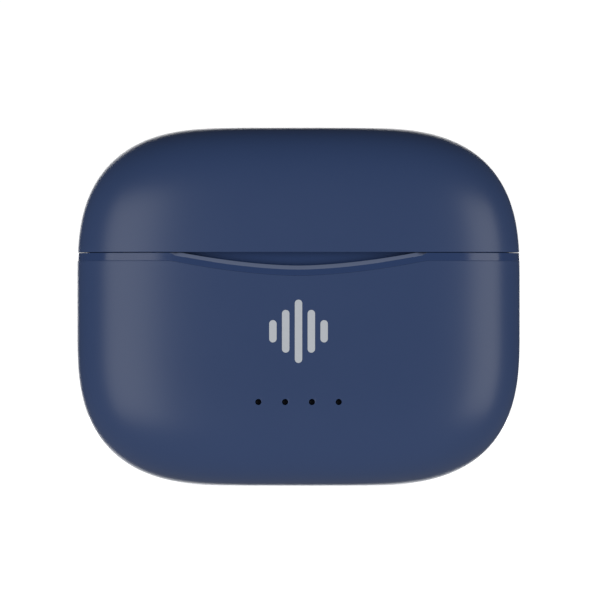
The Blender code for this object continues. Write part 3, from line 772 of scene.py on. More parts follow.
class PebbleShell(Rule):
    """A geometry tree that makes a hollow half of the pebble form with a shaped rim."""

    FORM = tuple(field.name for field in fields(PebbleForm))
    RIM = tuple(field.name for field in fields(RimLine))
    CAP_SHARE = 0.10
    EDGE_SEGMENTS = 3
    EDGE_ANGLE = 30.0

    def __init__(self) -> None:
        """Build the tree: a grid laid along the rule and closed."""
        numbers = (*self.FORM, *self.RIM, "gap", "wall", "side")
        super().__init__("pebble_shell", {**dict.fromkeys(numbers, "Float"), "columns": "Int", "rows": "Int"})
        graph, given = self.graph, self.given
        form = PebbleForm(*(given.out(name) for name in self.FORM))
        rim = RimLine(*(given.out(name) for name in self.RIM))
        side, columns, rows = (given.out(name) for name in ("side", "columns", "rows"))
        grid = graph.node("GeometryNodeMeshGrid", {"Size X": 1.0, "Size Y": 1.0, "Vertices X": columns + 1.0,
                                                   "Vertices Y": rows}, "Mesh")
        place = graph.node("ShaderNodeSeparateXYZ", {0: graph.node("GeometryNodeInputPosition")}, "X")
        turn, along = place + 0.5, place.out("Y") + 0.5
        inset = given.out("wall") * greater(along, 0.5)
        way = at_most(fold(along * 2.0) * (rows - 1.0) / (rows - 2.0), 1.0)
        shrink = at_most(way / self.CAP_SHARE, 1.0)
        angle = (1.0 - at_least((way - self.CAP_SHARE) / (1.0 - self.CAP_SHARE), 0.0)) * (math.pi / 2)
        share = at_least(sine(angle), 0.0) ** (2.0 / form.corner_power)
        seam_x, seam_y = form.outline(turn, rim.seam, inset)
        cut = rim.groove(seam_y) + rim.notch(seam_x, seam_y)
        edge = side * (rim.seam - form.height / 2) + given.out("gap") + cut
        level = edge + share * (form.height / 2 - inset - edge)
        z = form.height / 2 + side * level
        x, y = form.outline(turn, z, inset)
        spot = graph.vector(x * shrink, y * shrink, z)
        laid = graph.node("GeometryNodeSetPosition", {"Geometry": grid, "Position": spot})
        self.hand_out(graph.node("GeometryNodeMergeByDistance", {"Geometry": laid, "Distance": MERGE_WITHIN}))

    def grow(self, name: str, case: CaseFrame, gap: float, side: float, edge: float) -> bpy.types.Object:
        """Make one half of the form as a plain object.

        Args:
            name: The piece's name.
            case: The case's sizes.
            gap: The distance from the parting line to the half's edge.
            side: 1 for the upper half, -1 for the lower half, which alone has the notch.
            edge: The rounding of its rim.

        Returns:
            The object, with rounded rim edges.
        """
        values = {**vars(case.form), **vars(case.rim), "gap": gap, "wall": case.walls.wall, "side": side}
        if side > 0:
            values["notch_depth"] = 0.0
        values = {label: float(value) for label, value in values.items()}
        obj = self.run(name, SHELL_NAVY, {**values, "columns": case.columns, "rows": case.rows})
        outward(obj.data)
        soft = obj.modifiers.new("rim_edges", "BEVEL")
        soft.width = edge
        soft.segments = self.EDGE_SEGMENTS
        soft.limit_method = "ANGLE"
        soft.angle_limit = math.radians(self.EDGE_ANGLE)
        settled(obj)
        obj.data.materials.clear()
        obj.data.materials.append(SHELL_NAVY.make())
        return obj


# The case

@dataclass
class Covers:
    """The lid's and the base's outer covers, with their openings."""

    case: CaseFrame
    lid_edge: float = 0.08 * MM
    base_edge: float = 0.025 * MM
    room_front: float = 9.7 * MM
    room_rise: float = 1.6 * MM
    port_play: float = 0.25 * MM
    port_flare: float = 0.25 * MM
    port_deep: float = 4.0 * MM
    lamp_hole: float = 0.40 * MM
    lamp_flare: float = 0.09 * MM
    lamp_deep: float = 2.5 * MM
    button_play: float = 0.18 * MM
    button_flare: float = 0.12 * MM
    button_floor: float = 9.5 * MM
    boss_radius: float = 1.5 * MM
    boss_bore: float = 0.7 * MM
    boss_start: float = 2.1 * MM
    lid_boss_root: float = 11.7 * MM
    base_boss_root: float = 11.8 * MM

    def build(self) -> None:
        """Make both covers from one geometry tree."""
        case, shells = self.case, PebbleShell()
        gap = case.walls.line_gap
        cover = shells.grow("lid_cover", case, gap, 1.0, self.lid_edge)
        self._open(cover, ("lid_hinge_screw_",), self.lid_boss_root)
        fit_out_even(cover, "lid", "shell", "lid_shell")
        cover = shells.grow("base_cover", case, gap + case.walls.band, -1.0, self.base_edge)
        self._open(cover, ("base_hinge_screw_", "board_screw_"), self.base_boss_root, self._port_hole(),
                   self._button_hole(), *self._lamp_holes())
        fit_out_even(cover, "base", "shell", "base_shell")

    def _open(self, cover: bpy.types.Object, screws: Sequence[str], root: float,
              *tools: bpy.types.Mesh) -> None:
        """Give a cover its screw bosses, its room for the hinge and its openings.

        Args:
            cover: The cover.
            screws: Starts of the names of its screws.
            root: Y of the bosses' roots, inside the wall.
            *tools: Cutters of its other openings.
        """
        pairs = [self._boss(prefix + side, root) for prefix in screws for side in SIDES]
        combined(cover, "UNION", *(boss for boss, _ in pairs))
        room = self.case.room(self.room_front, -self.room_rise, self.room_rise)
        combined(cover, "DIFFERENCE", *(bore for _, bore in pairs), room, *tools)

    def _boss(self, screw: str, root: float) -> tuple[bpy.types.Mesh, bpy.types.Mesh]:
        """A screw's boss, which grows from the back wall, and its bore."""
        spot = centre_of(screw)
        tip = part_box(screw)[0].y + self.boss_start
        centre = (spot.x, 0.0, spot.z)
        boss = turned("boss", ((self.boss_radius, tip), (self.boss_radius, root)), SMALL, centre, "Y")
        ends = ((self.boss_bore, tip - 1 * MM), (self.boss_bore, root - 0.4 * MM))
        bore = turned("bore", ends, TINY, centre, "Y")
        return boss, bore

    def _port_hole(self) -> bpy.types.Mesh:
        """The port's cutter, flared where it meets the underside."""
        low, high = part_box("usb_socket_shell")
        half_x, half_y = (high.x - low.x) / 2 + self.port_play, (high.y - low.y) / 2 + self.port_play
        flare = self.port_flare
        levels = ((3 * flare, -2 * flare), (flare, 0.0), (0.4 * flare, 0.25 * flare), (0.0, flare),
                  (0.0, self.port_deep))
        return loft("port_hole", [stadium(half_x + out, half_y + out, z) for out, z in levels])

    def _button_hole(self) -> bpy.types.Mesh:
        """The button's cutter, flared at the back surface."""
        spot, high = centre_of("button_cap"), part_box("button_cap")[1]
        radius, flare = BackButton.radius + self.button_play, self.button_flare
        surface = self.case.form.half_depth(spot.z)
        profile = ((radius, self.button_floor), (radius, surface - flare), (radius + flare, surface),
                   (radius + 6 * flare, surface + 4 * flare))
        LOG.info("button stands %.2f mm below the back surface", (surface - high.y) / MM)
        return turned("button_hole", profile, FINE, (spot.x, 0.0, spot.z), "Y")

    def _lamp_holes(self) -> list[bpy.types.Mesh]:
        """The lamps' cutters, each with a small flare at the front surface."""
        cutters = []
        for name in LAMPS:
            spot = centre_of(name)
            surface = self.case.front(spot.z)
            hole, flare = self.lamp_hole, self.lamp_flare
            profile = ((hole, self.lamp_deep - self.case.form.half_y), (hole, surface + flare),
                       (hole + 0.35 * flare, surface + 0.25 * flare), (hole + flare, surface),
                       (hole + 9 * flare, surface - 4 * flare))
            cutters.append(turned("hole", profile, MEDIUM, (spot.x, 0.0, spot.z), "Y"))
        return cutters


@dataclass
class Wells:
    """The hollows for the two earbuds, shared by the tray, the seats and the liner.

    In the methods, hand is -1 for the left earbud and 1 for the right one.
    """

    head_x: float = 12.0 * MM
    head_radius: float = 7.3 * MM
    head_floor: float = 20.8 * MM
    head_fillet: float = 2.6 * MM
    stem_x: float = 14.0 * MM
    stem_radius: float = 3.4 * MM
    stem_floor: float = 9.5 * MM
    stem_fillet: float = 0.7 * MM
    mouth: float = 0.7 * MM
    cup_wall: float = 1.0 * MM
    cup_floor: float = 1.2 * MM
    dome_low: float = 33.2 * MM
    dome_rise: float = 8.2 * MM
    plunger_hole: float = 0.62 * MM
    plunger_flare: float = 0.15 * MM
    stem_edge: float = 0.4 * MM
    stem_lip: float = 0.35 * MM
    flange_radius: float = 9.0 * MM
    flange_rise: float = 0.75 * MM
    flange_edge: float = 0.15 * MM
    seat_play: float = 0.1 * MM
    past: float = 3.0 * MM

    def _about(self, name: str, x: float, profile: Profile) -> bpy.types.Mesh:
        """A body turned about an upright axis at an X."""
        return turned(name, profile, FINE, (x, 0, 0))

    def head_cup(self, hand: float, deck: float) -> bpy.types.Mesh:
        """The outside of a head cup, with the flange that it hangs from on the deck."""
        low, outer = self.head_floor - self.cup_floor, self.head_radius + self.cup_wall
        fillet, edge, flange = self.head_fillet, self.flange_edge, self.flange_radius
        top = deck + self.flange_rise
        profile = [(outer - fillet, low)]
        profile += arc((outer - fillet, low + fillet), (fillet, fillet), -80, 0, 8)
        profile += [(outer, deck), (flange - edge, deck)]
        profile += arc((flange - edge, deck + edge), (edge, edge), -45, 0, 2)
        profile += arc((flange - edge, top - edge), (edge, edge), 0, 90, 4)
        return self._about("head_cup", hand * self.head_x, profile)

    def stem_cup(self, hand: float) -> bpy.types.Mesh:
        """The outside of a stem cup, up into the head cup's floor."""
        foot, side = self.stem_floor - self.cup_wall, self.stem_radius + self.cup_wall
        high = self.head_floor - self.cup_floor / 2
        profile = ((side - self.stem_edge, foot), (side, foot + self.stem_edge), (side, high))
        return self._about("stem_cup", hand * self.stem_x, profile)

    def seat_hole(self, hand: float, deck: float) -> bpy.types.Mesh:
        """The cutter of the deck's hole for a seat."""
        radius = self.head_radius + self.cup_wall + self.seat_play
        profile = ((radius, deck - self.past), (radius, deck + self.past))
        return self._about("seat_hole", hand * self.head_x, profile)

    def head_hollow(self, hand: float, top: float) -> bpy.types.Mesh:
        """The cutter of a head's hollow, flared at its top."""
        radius, fillet, mouth = self.head_radius, self.head_fillet, self.mouth
        profile = [(radius - fillet, self.head_floor)]
        profile += arc((radius - fillet, self.head_floor + fillet), (fillet, fillet), -80, 0, 12)
        profile += arc((radius + mouth, top - mouth), (-mouth, mouth), 0, 90, 8)
        profile.append((radius + mouth, top + self.past))
        return self._about("head_hollow", hand * self.head_x, profile)

    def stem_hollows(self, side: str) -> list[bpy.types.Mesh]:
        """The cutters of a stem's hollow and of the holes for its two pins, on a named side."""
        radius, fillet, floor, lip = self.stem_radius, self.stem_fillet, self.stem_floor, self.stem_lip
        profile = [(radius - fillet, floor)]
        profile += arc((radius - fillet, floor + fillet), (fillet, fillet), -75, 0, 6)
        profile += arc((radius + lip, self.head_floor - lip), (-lip, lip), 0, 90, 6)
        profile.append((radius + lip, self.head_floor + 1 * MM))
        made = [self._about("stem_hollow", SIDES[side] * self.stem_x, profile)]
        hole, flare = self.plunger_hole, self.plunger_flare
        profile = ((hole, floor - 2 * MM), (hole, floor - flare), (hole + flare, floor),
                   (hole + 3 * flare, floor + 2 * flare))
        for pin in PINS:
            if pin.startswith(side):
                spot = centre_of("pogo_plunger_" + pin)
                made.append(turned("plunger_hollow", profile, SMALL, (spot.x, spot.y, 0.0)))
        return made

    def dome(self, hand: float, grow: float, low: float, mouth: float = 0.0) -> bpy.types.Mesh:
        """A dome over one earbud.

        Args:
            hand: Which side it is on.
            grow: How much larger than the hollow it is.
            low: Height of its foot, below where it starts to curve.
            mouth: Radius of the flare at its foot.

        Returns:
            The dome.
        """
        radius, rise = self.head_radius + grow, self.dome_rise + grow
        profile = [(radius + mouth, low - 1 * MM)] if mouth else [(radius, low)]
        if mouth:
            profile += arc((radius + mouth, low + mouth), (-mouth, mouth), -90, 0, 8)
        profile += arc((0.0, self.dome_low), (radius, rise), 0, 87, 18)
        return self._about("dome", hand * self.head_x, profile)


@dataclass
class InnerTray:
    """The tray in the base: rim band with thumb notch, locating lip, skirt and a deck with two holes."""

    case: CaseFrame
    wells: Wells
    skirt: float = 4.2 * MM
    edge: float = 0.06 * MM
    notch_edge_rise: float = 0.50 * MM
    notch_edge_in: float = 0.42 * MM
    notch_end: float = 0.35 * MM
    fillet: float = 0.15 * MM
    dimple: float = 0.01 * MM
    room: tuple[float, float, float] = (8.3 * MM, -7 * MM, 4 * MM)
    slanted_over: float = 0.3
    slanted_within: float = 0.02 * MM

    def build(self) -> None:
        """Make the tray."""
        obj = new_object("tray", loft("tray", self._rings()), INNER_NAVY)
        # The second material is the lighter navy that paints the notch edge's highlight.
        obj.data.materials.append(NOTCH_EDGE_HIGHLIGHT_NAVY.make())
        self._mark_notch_edge(obj.data)
        holes = [self.wells.seat_hole(hand, self.case.top) for hand in SIDES.values()]
        combined(obj, "DIFFERENCE", *holes, self.case.room(*self.room))
        fit_out_even(obj, "base", "inner", "inner_tray")

    def _under(self, shift: float = 0.0) -> HeightRule:
        """Height of the band's lower edge, moved up by a shift."""
        case, rim = self.case, self.case.rim
        return lambda x, y: case.top - case.walls.band - rim.groove(y) - rim.notch(x, y) + shift

    def _outer(self, shift: float = 0.0) -> HeightRule:
        """Height of the band's outer upper edge, moved up by a shift."""
        rim, top = self.case.rim, self.case.top

        def height(x: np.ndarray, y: np.ndarray) -> np.ndarray:
            """The height where the light edge starts quickly at the notch's ends."""
            share = np.clip((rim.notch_half - abs(x)) / self.notch_end, 0.0, 1.0)
            share = share * share * (3.0 - 2.0 * share) * (y < 0)
            return top - rim.groove(y) - rim.notch(x, y) - self.notch_edge_rise / 2 * share + shift

        return height

    def _inner(self, shift: float = 0.0) -> HeightRule:
        """Height of the light edge's inner side, moved up by a shift."""
        rim, top, drop = self.case.rim, self.case.top, self.notch_edge_rise / 2
        return lambda x, y: top - rim.groove(y) - np.maximum(rim.notch(x, y) - drop, 0.0) + shift

    def _rings(self) -> list[np.ndarray]:
        """The tray's loops, from under the deck, down the skirt, up the band, and over the lip."""
        walls, top, edge, soft = self.case.walls, self.case.top, self.edge, self.fillet
        fit, back = walls.fit, walls.fit + walls.rib
        foot, lip = self.case.rim.seam - self.skirt, self.case.rim.seam + walls.lip_rise
        rising = self._inner(soft)
        levels = (
            (back, top - walls.deck), (back, foot + soft), (back - soft, foot), (fit + soft, foot),
            (fit, foot + soft), (fit, self._under()), (edge, self._under()),
            (0.3 * edge, self._under(0.3 * edge)), (0.0, self._under(edge)), (0.0, self._under(2 * edge)),
            (0.0, self._outer(-1.5 * edge)), (0.0, self._outer(-0.5 * edge)),
            (0.25 * edge, self._outer(-0.1 * edge)), (self.notch_edge_in, self._inner()),
            (self.notch_edge_in + soft, self._inner(self.dimple)), (fit - soft, self._inner()),
            (fit, lambda x, y: np.minimum(rising(x, y), top)), (fit, lip - soft),
            (fit + 0.3 * soft, lip - 0.3 * soft), (fit + soft, lip), (back - soft, lip),
            (back - 0.3 * soft, lip - 0.3 * soft), (back, lip - soft), (back, top + soft),
            (back + 0.3 * soft, top + 0.3 * soft), (back + soft, top),
        )
        return [self.case.ring(inset, z) for inset, z in levels]

    def _mark_notch_edge(self, mesh: bpy.types.Mesh) -> None:
        """Give the slanted faces of the notch the lighter navy that paints their highlight."""
        outer, inner = self._outer(-self.slanted_within), self._inner(self.slanted_within)
        for face in mesh.polygons:
            x, y, z = face.center
            in_notch = y <= 0 and abs(x) <= self.case.rim.notch_half and len(face.vertices) <= 4
            slanted = face.normal.z > self.slanted_over and -face.normal.y > self.slanted_over
            if in_notch and slanted and outer(x, y) < z < inner(x, y):
                face.material_index = 1


@dataclass
class Seats:
    """The two seats that hang in the tray's deck and hold the earbuds."""

    case: CaseFrame
    wells: Wells

    def build(self) -> None:
        """Make both seats."""
        deck, wells = self.case.top, self.wells
        for side, hand in SIDES.items():
            obj = new_object("seat_" + side, wells.head_cup(hand, deck), INNER_NAVY)
            combined(obj, "UNION", wells.stem_cup(hand))
            combined(obj, "DIFFERENCE", wells.head_hollow(hand, deck + wells.flange_rise))
            combined(obj, "DIFFERENCE", *wells.stem_hollows(side))
            fit_out_even(obj, "base", "inner", "bud_seat_" + side)


@dataclass
class LidLiner:
    """The liner in the lid: a plate with two domes that close over the earbuds."""

    case: CaseFrame
    wells: Wells
    low: float = 1.0 * MM
    thick: float = 1.2 * MM
    edge: float = 0.25 * MM
    mouth: float = 0.8 * MM
    overlap: float = 0.5 * MM
    room: tuple[float, float, float] = (8.5 * MM, -2 * MM, 8 * MM)

    def build(self) -> None:
        """Make the liner."""
        case, wells, edge, fit = self.case, self.wells, self.edge, self.case.walls.fit
        low = case.rim.seam + self.low
        high = low + self.thick
        levels = ((fit + edge, low), (fit + 0.3 * edge, low + 0.3 * edge), (fit, low + edge), (fit, high))
        obj = new_object("liner", loft("liner", [case.ring(inset, z) for inset, z in levels]), INNER_NAVY)
        foot = high - self.overlap
        combined(obj, "UNION", *(wells.dome(hand, wells.cup_wall, foot) for hand in SIDES.values()))
        hollows = [wells.dome(hand, 0.0, low, self.mouth) for hand in SIDES.values()]
        combined(obj, "DIFFERENCE", *hollows, case.room(*self.room))
        fit_out_even(obj, "lid", "inner", "lid_liner")


@dataclass
class FrontMark:
    """A plain printed mark on the front: upright bars with round ends, tallest in the middle."""

    case: CaseFrame
    bars: int = 5
    pitch: float = 1.72 * MM
    width: float = 1.0 * MM
    tallest: float = 8.5 * MM
    step: float = 2.75 * MM
    middle: float = 20.9 * MM
    proud: float = 0.02 * MM
    sunk: float = 0.01 * MM
    end_steps: int = 10

    def build(self) -> None:
        """Make the bars with a geometry tree and lay them on the front."""
        sizes = {"Pitch": self.pitch, "Width": self.width, "Tallest": self.tallest, "Step": self.step,
                 "Rise": self.proud + self.sunk, "Front": self.case.front(self.middle) + self.sunk,
                 "Middle": self.middle}
        rule = Rule("front_bars", {**dict.fromkeys(sizes, "Float"), "Bars": "Int"})
        self._fill(rule)
        obj = rule.run("front_mark", MARK_INK, {**sizes, "Bars": self.bars})
        outward(obj.data)
        fit_out_smooth(obj, "base", "shell", sharp_over=30.0)

    def _fill(self, rule: Rule) -> None:
        """Add the nodes: rounded rectangles along a line, filled and raised."""
        graph, given = rule.graph, rule.given
        count, pitch, width = (given.out(name) for name in ("Bars", "Pitch", "Width"))
        line = graph.node("GeometryNodeMeshLine", {
            "Count": count, "Start Location": graph.vector((count - 1.0) * pitch * -0.5),
            "Offset": graph.vector(pitch)}, "Mesh", mode="OFFSET")
        index = graph.node("GeometryNodeInputIndex")
        height = given.out("Tallest") - abs(index - (count - 1.0) * 0.5) * given.out("Step")
        outline = graph.node("GeometryNodeCurvePrimitiveQuadrilateral", {"Width": width, "Height": 1.0},
                             "Curve", mode="RECTANGLE")
        copies = graph.node("GeometryNodeInstanceOnPoints", {"Points": line, "Instance": outline,
                                                             "Scale": graph.vector(1.0, height, 1.0)})
        outlines = graph.node("GeometryNodeRealizeInstances", {"Geometry": copies})
        bars = graph.node("GeometryNodeFilletCurve", {"Curve": outlines, "Count": self.end_steps,
                                                      "Radius": width * 0.4995}, mode="POLY")
        filled = graph.node("GeometryNodeFillCurve", {"Curve": bars}, mode="NGONS")
        raised = graph.node("GeometryNodeExtrudeMesh", {"Mesh": filled, "Offset Scale": given.out("Rise"),
                                                        "Individual": False}, "Mesh", mode="FACES")
        both = graph.node("GeometryNodeJoinGeometry")
        for part in (raised, graph.node("GeometryNodeFlipFaces", {"Mesh": filled})):
            graph.link(part, both.socket.node, "Geometry")
        closed = graph.node("GeometryNodeMergeByDistance", {"Geometry": both, "Distance": MERGE_WITHIN / 2})
        place = graph.vector(0.0, given.out("Front"), given.out("Middle"))
        rule.hand_out(graph.node("GeometryNodeTransform", {"Geometry": closed, "Translation": place,
                                                           "Rotation": (math.pi / 2, 0.0, 0.0)}))


@dataclass
class BackButton:
    """The round button at the back."""

    radius: float = 2.5 * MM
    flange: float = 3.3 * MM
    flange_thick: float = 0.8 * MM
    flange_y: float = 9.6 * MM
    stem: float = 1.0 * MM
    stem_edge: float = 0.2 * MM
    edge: float = 0.25 * MM
    dish: float = 0.10 * MM
    dish_share: float = 0.9
    dish_steps: tuple[float, ...] = (0.82, 0.66, 0.5, 0.34, 0.18, 0.04)

    def build(self) -> None:
        """Turn the cap with its dished face, flange and stem."""
        low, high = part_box("button_cap")
        spot = centre_of("button_cap")
        face, edge, radius = high.y, self.edge, self.radius
        flange_top = self.flange_y + self.flange_thick
        profile = [(self.stem - self.stem_edge, low.y), (self.stem, low.y + self.stem_edge),
                   (self.stem, self.flange_y), (self.flange, self.flange_y), (self.flange, flange_top),
                   (radius, flange_top)]
        profile += arc((radius - edge, face - edge), (edge, edge), 0, 90, 5)
        for share in self.dish_steps:
            profile.append((radius * share, face - self.dish * (1 - share / self.dish_share) ** 0.5))
        cap = turned("button", profile, FINE, (spot.x, 0.0, spot.z), "Y")
        fit_out_smooth(new_object("button", cap, SHELL_NAVY), "button", "shell", "button_cap")


@dataclass
class Hinge:
    """The hinge at the back: two leaves with knuckles on one pin."""

    case: CaseFrame
    radius: float = 1.2 * MM
    bore: float = 0.55 * MM
    pin: float = 0.5 * MM
    half: float = 8.0 * MM
    middle: float = 3.7 * MM
    play: float = 0.15 * MM
    leaf: float = 0.8 * MM
    leaf_edge: float = 0.15 * MM
    edge: float = 0.10 * MM
    screw_hole: float = 0.75 * MM
    pin_dome: float = 0.25 * MM
    segments: int = 64

    def build(self) -> None:
        """Make both leaves and the pin."""
        self._base_leaf()
        self._lid_leaf()
        reach = self.half - self.edge
        ends = arc((0.0, reach - self.pin_dome), (self.pin, self.pin_dome), 0, 80, 5)
        profile = [(radius, -along) for radius, along in reversed(ends)] + ends
        axle = self._on_axis("hinge_axle", profile, MEDIUM)
        fit_out_smooth(new_object("hinge_axle", axle, HINGE_STEEL), "base", "steel", "hinge_pin")

    def _on_axis(self, name: str, profile: Profile, segments: int) -> bpy.types.Mesh:
        """A body turned about the hinge's axis."""
        return turned(name, profile, segments, (0.0, self.case.rim.groove_y, self.case.hinge_z), "X")

    def _knuckle(self, start: float, end: float) -> bpy.types.Mesh:
        """A knuckle along the axis with softened ends."""
        edge, radius = self.edge, self.radius
        profile = ((radius - edge, start), (radius, start + edge), (radius, end - edge), (radius - edge, end))
        return self._on_axis("knuckle", profile, self.segments)

    def _slab(self, reach: float | tuple[float, float], y: tuple[float, float], rise: tuple[float, float],
              edge: float = 0.0) -> bpy.types.Mesh:
        """A block of a leaf.

        Args:
            reach: Its half width about the middle, or its two ends along X.
            y: Where it starts and ends in depth.
            rise: Its lower and upper side, measured from the axis.
            edge: The rounding of its edges.

        Returns:
            The block.
        """
        ends = reach if isinstance(reach, tuple) else (-reach, reach)
        low, high = zip(ends, y, (self.case.hinge_z + rise[0], self.case.hinge_z + rise[1]))
        return block("slab", low, high, edge)

    def _drilled(self, obj: bpy.types.Object, screws: str, y: float) -> bpy.types.Object:
        """Drill a leaf for the pin and for its screws, whose plate starts at a depth."""
        reach = self.half + 2 * MM
        tools = [self._on_axis("bore", ((self.bore, -reach), (self.bore, reach)), MEDIUM)]
        for side in SIDES:
            spot = centre_of(screws + side)
            profile = ((self.screw_hole, y - 1 * MM), (self.screw_hole, y + 2 * MM))
            tools.append(turned("hole", profile, SMALL, (spot.x, 0.0, spot.z), "Y"))
        return combined(obj, "DIFFERENCE", *tools)

    def _base_leaf(self) -> None:
        """The base's leaf: a plate, two webs and two knuckles."""
        low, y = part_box("hinge_base_leaf")[0], self.case.rim.groove_y
        foot = low.z - self.case.hinge_z
        plate = self._slab(self.half, (low.y, low.y + self.leaf), (foot, -0.4 * MM), self.leaf_edge)
        obj = new_object("hinge_base", plate, HINGE_STEEL)
        webs, knuckles = [], []
        for hand in SIDES.values():
            start, end = sorted((hand * (self.middle + self.play), hand * self.half))
            webs.append(self._slab((start + self.edge, end - self.edge), (low.y + 0.2 * MM, y),
                                   (-1.1 * MM, -0.5 * MM)))
            knuckles.append(self._knuckle(start, end))
        combined(obj, "UNION", *webs)
        combined(obj, "UNION", *knuckles)
        between = (low.y - 1 * MM, self.case.form.half_y)
        combined(obj, "DIFFERENCE", self._slab(self.middle + self.play, between, (-1.6 * MM, 2 * MM)))
        fit_out_even(self._drilled(obj, "base_hinge_screw_", low.y), "base", "steel", "hinge_base_leaf")

    def _lid_leaf(self) -> None:
        """The lid's leaf: a plate, a neck, a web and one knuckle."""
        (low, high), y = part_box("hinge_lid_leaf"), self.case.rim.groove_y
        plate = self._slab(self.half, (low.y, low.y + self.leaf), (1.9 * MM, high.z - self.case.hinge_z),
                           self.leaf_edge)
        obj = new_object("hinge_lid", plate, HINGE_STEEL)
        depth, play = (low.y + 0.05 * MM, low.y + self.leaf - 0.05 * MM), 0.05 * MM
        combined(obj, "UNION", self._slab(self.middle - 2 * play, depth, (0.5 * MM, 4 * MM)))
        combined(obj, "UNION", self._slab(self.middle - play, (low.y + 2 * play, y), (0.35 * MM, 1.05 * MM)))
        combined(obj, "UNION", self._knuckle(-self.middle, self.middle))
        fit_out_even(self._drilled(obj, "lid_hinge_screw_", low.y), "lid", "steel", "hinge_lid_leaf")


@dataclass
class Screws:
    """The small pan-head screws of the hinge leaves and the board."""

    copies: Copies
    head: float = 1.0 * MM
    head_rise: float = 0.5 * MM
    head_curve: tuple[tuple[float, float], ...] = ((0.55, 0.01), (0.82, 0.08), (0.96, 0.2), (1.0, 0.32))
    shank: float = 0.48 * MM
    root: float = 0.8
    long: float = 2.8 * MM
    threads: int = 7
    slot: float = 0.16 * MM
    slot_reach: float = 0.55

    def build(self) -> None:
        """Set the screws out, one mesh for the base and one for the lid."""
        groups = {"base": ("base_hinge_screw_", "board_screw_"), "lid": ("lid_hinge_screw_",)}
        for body, prefixes in groups.items():
            nodes = [prefix + side for prefix in prefixes for side in SIDES]
            centres = [(centre_of(node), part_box(node)[0].y + self.head_rise) for node in nodes]
            places = [(spot.x, y, spot.z) for spot, y in centres]
            obj = self.copies.set_out(body + "_screws", self._screw(), places, HINGE_STEEL)
            fit_out_smooth(obj, body, "steel", *nodes, sharp_over=30.0)

    def _screw(self) -> bpy.types.Mesh:
        """One screw along +Y: head with a cross recess, and a threaded shank."""
        head, shank, root = self.head, self.shank, self.shank * self.root
        profile = [(0.1 * head, -self.head_rise)]
        profile += [(head * share, -self.head_rise + depth * MM) for share, depth in self.head_curve]
        profile += [(head, 0.0), (root, 0.0)]
        pitch = (self.long - 0.6 * MM) / self.threads
        for turn in range(self.threads):
            start = 0.2 * MM + turn * pitch
            profile += [(root, start), (shank, start + 0.45 * pitch), (shank, start + 0.6 * pitch)]
        profile += [(root, self.long - 0.35 * MM), (shank * 0.4, self.long)]
        obj = new_object("screw", turned("screw", profile, TINY, (0, 0, 0), "Y"))
        reach = self.slot_reach * head
        for half_x, half_z in ((reach, self.slot), (self.slot, reach)):
            slot = block("slot", (-half_x, -1 * MM, -half_z), (half_x, -0.25 * MM, half_z))
            combined(obj, "DIFFERENCE", slot)
        mesh = obj.data
        bpy.data.objects.remove(obj)
        return mesh


@dataclass
class ChargePort:
    """The charging socket under the case: a rolled shell, a tongue and its contacts."""

    copies: Copies
    wall: float = 0.32 * MM
    mouth: float = 0.12 * MM
    edge: float = 0.10 * MM
    tongue_edge: float = 0.12 * MM
    pads: int = 12
    pad_pitch: float = 0.5 * MM
    pad_half: tuple[float, float] = (0.13 * MM, 0.02 * MM)
    pad_rise: tuple[float, float] = (0.5 * MM, 3.6 * MM)
    pad_edge: float = 0.015 * MM

    def build(self) -> None:
        """Make the socket, its tongue and its contacts."""
        low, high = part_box("usb_socket_shell")
        half_x, half_y, wall = (high.x - low.x) / 2, (high.y - low.y) / 2, self.wall
        mouth, soft = self.mouth, self.edge
        levels = ((-wall, high.z - wall), (-wall, low.z + 3 * mouth), (-wall + mouth, low.z), (-soft, low.z),
                  (0.0, low.z + soft), (0.0, high.z - soft), (-soft, high.z))
        shell = loft("port_shell", [stadium(half_x + out, half_y + out, z) for out, z in levels])
        fit_out_smooth(new_object("port_shell", shell, HINGE_STEEL), "base", "steel", "usb_socket_shell")
        low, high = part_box("usb_tongue")
        tongue = block("port_tongue", low, high, self.tongue_edge, 3)
        fit_out_smooth(new_object("port_tongue", tongue, CHIP_BLACK), "base", "chip", "usb_tongue")
        columns = [(index - (self.pads - 1) / 2) * self.pad_pitch for index in range(self.pads)]
        places = [(x, y, low.z) for x in columns for y in (low.y, high.y)]
        (half_x, half_y), (start, end) = self.pad_half, self.pad_rise
        pad = block("pad", (-half_x, -half_y, start), (half_x, half_y, end), self.pad_edge, 1)
        fit_out(self.copies.set_out("port_contacts", pad, places, CONTACT_GOLD), "base", "contact")


@dataclass
class Indicators:
    """The four lamps' light guide, with a pip in each hole of the front."""

    case: CaseFrame
    copies: Copies
    pip: float = 0.36 * MM
    recess: float = 0.12 * MM
    bar_edge: float = 0.15 * MM
    dome_steps: tuple[float, ...] = (0.05, 0.3, 0.55, 0.8, 0.95)

    def build(self) -> None:
        """Make the guide's bar with its pips."""
        low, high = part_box("light_guide")
        bar = block("light_bar", low, high, self.bar_edge, 3)
        fit_out_smooth(new_object("light_bar", bar, HOLE_SHADE_GUIDE), "base", "guide", "light_guide")
        face, pip = self.case.front(centre_of(LAMPS[0]).z) + self.recess, self.pip
        profile = [(pip * share, face + pip * 0.25 * share * share) for share in self.dome_steps]
        profile += [(pip, face + pip * 0.4), (pip, low.y + 0.1 * MM)]
        places = [(centre_of(name).x, 0.0, centre_of(name).z) for name in LAMPS]
        one = turned("pip", profile, SMALL, axis="Y")
        # The near-black pips, set only just behind the front, paint the shade inside the lamp holes.
        fit_out_smooth(self.copies.set_out("light_pips", one, places, HOLE_SHADE_GUIDE), "base", "guide")


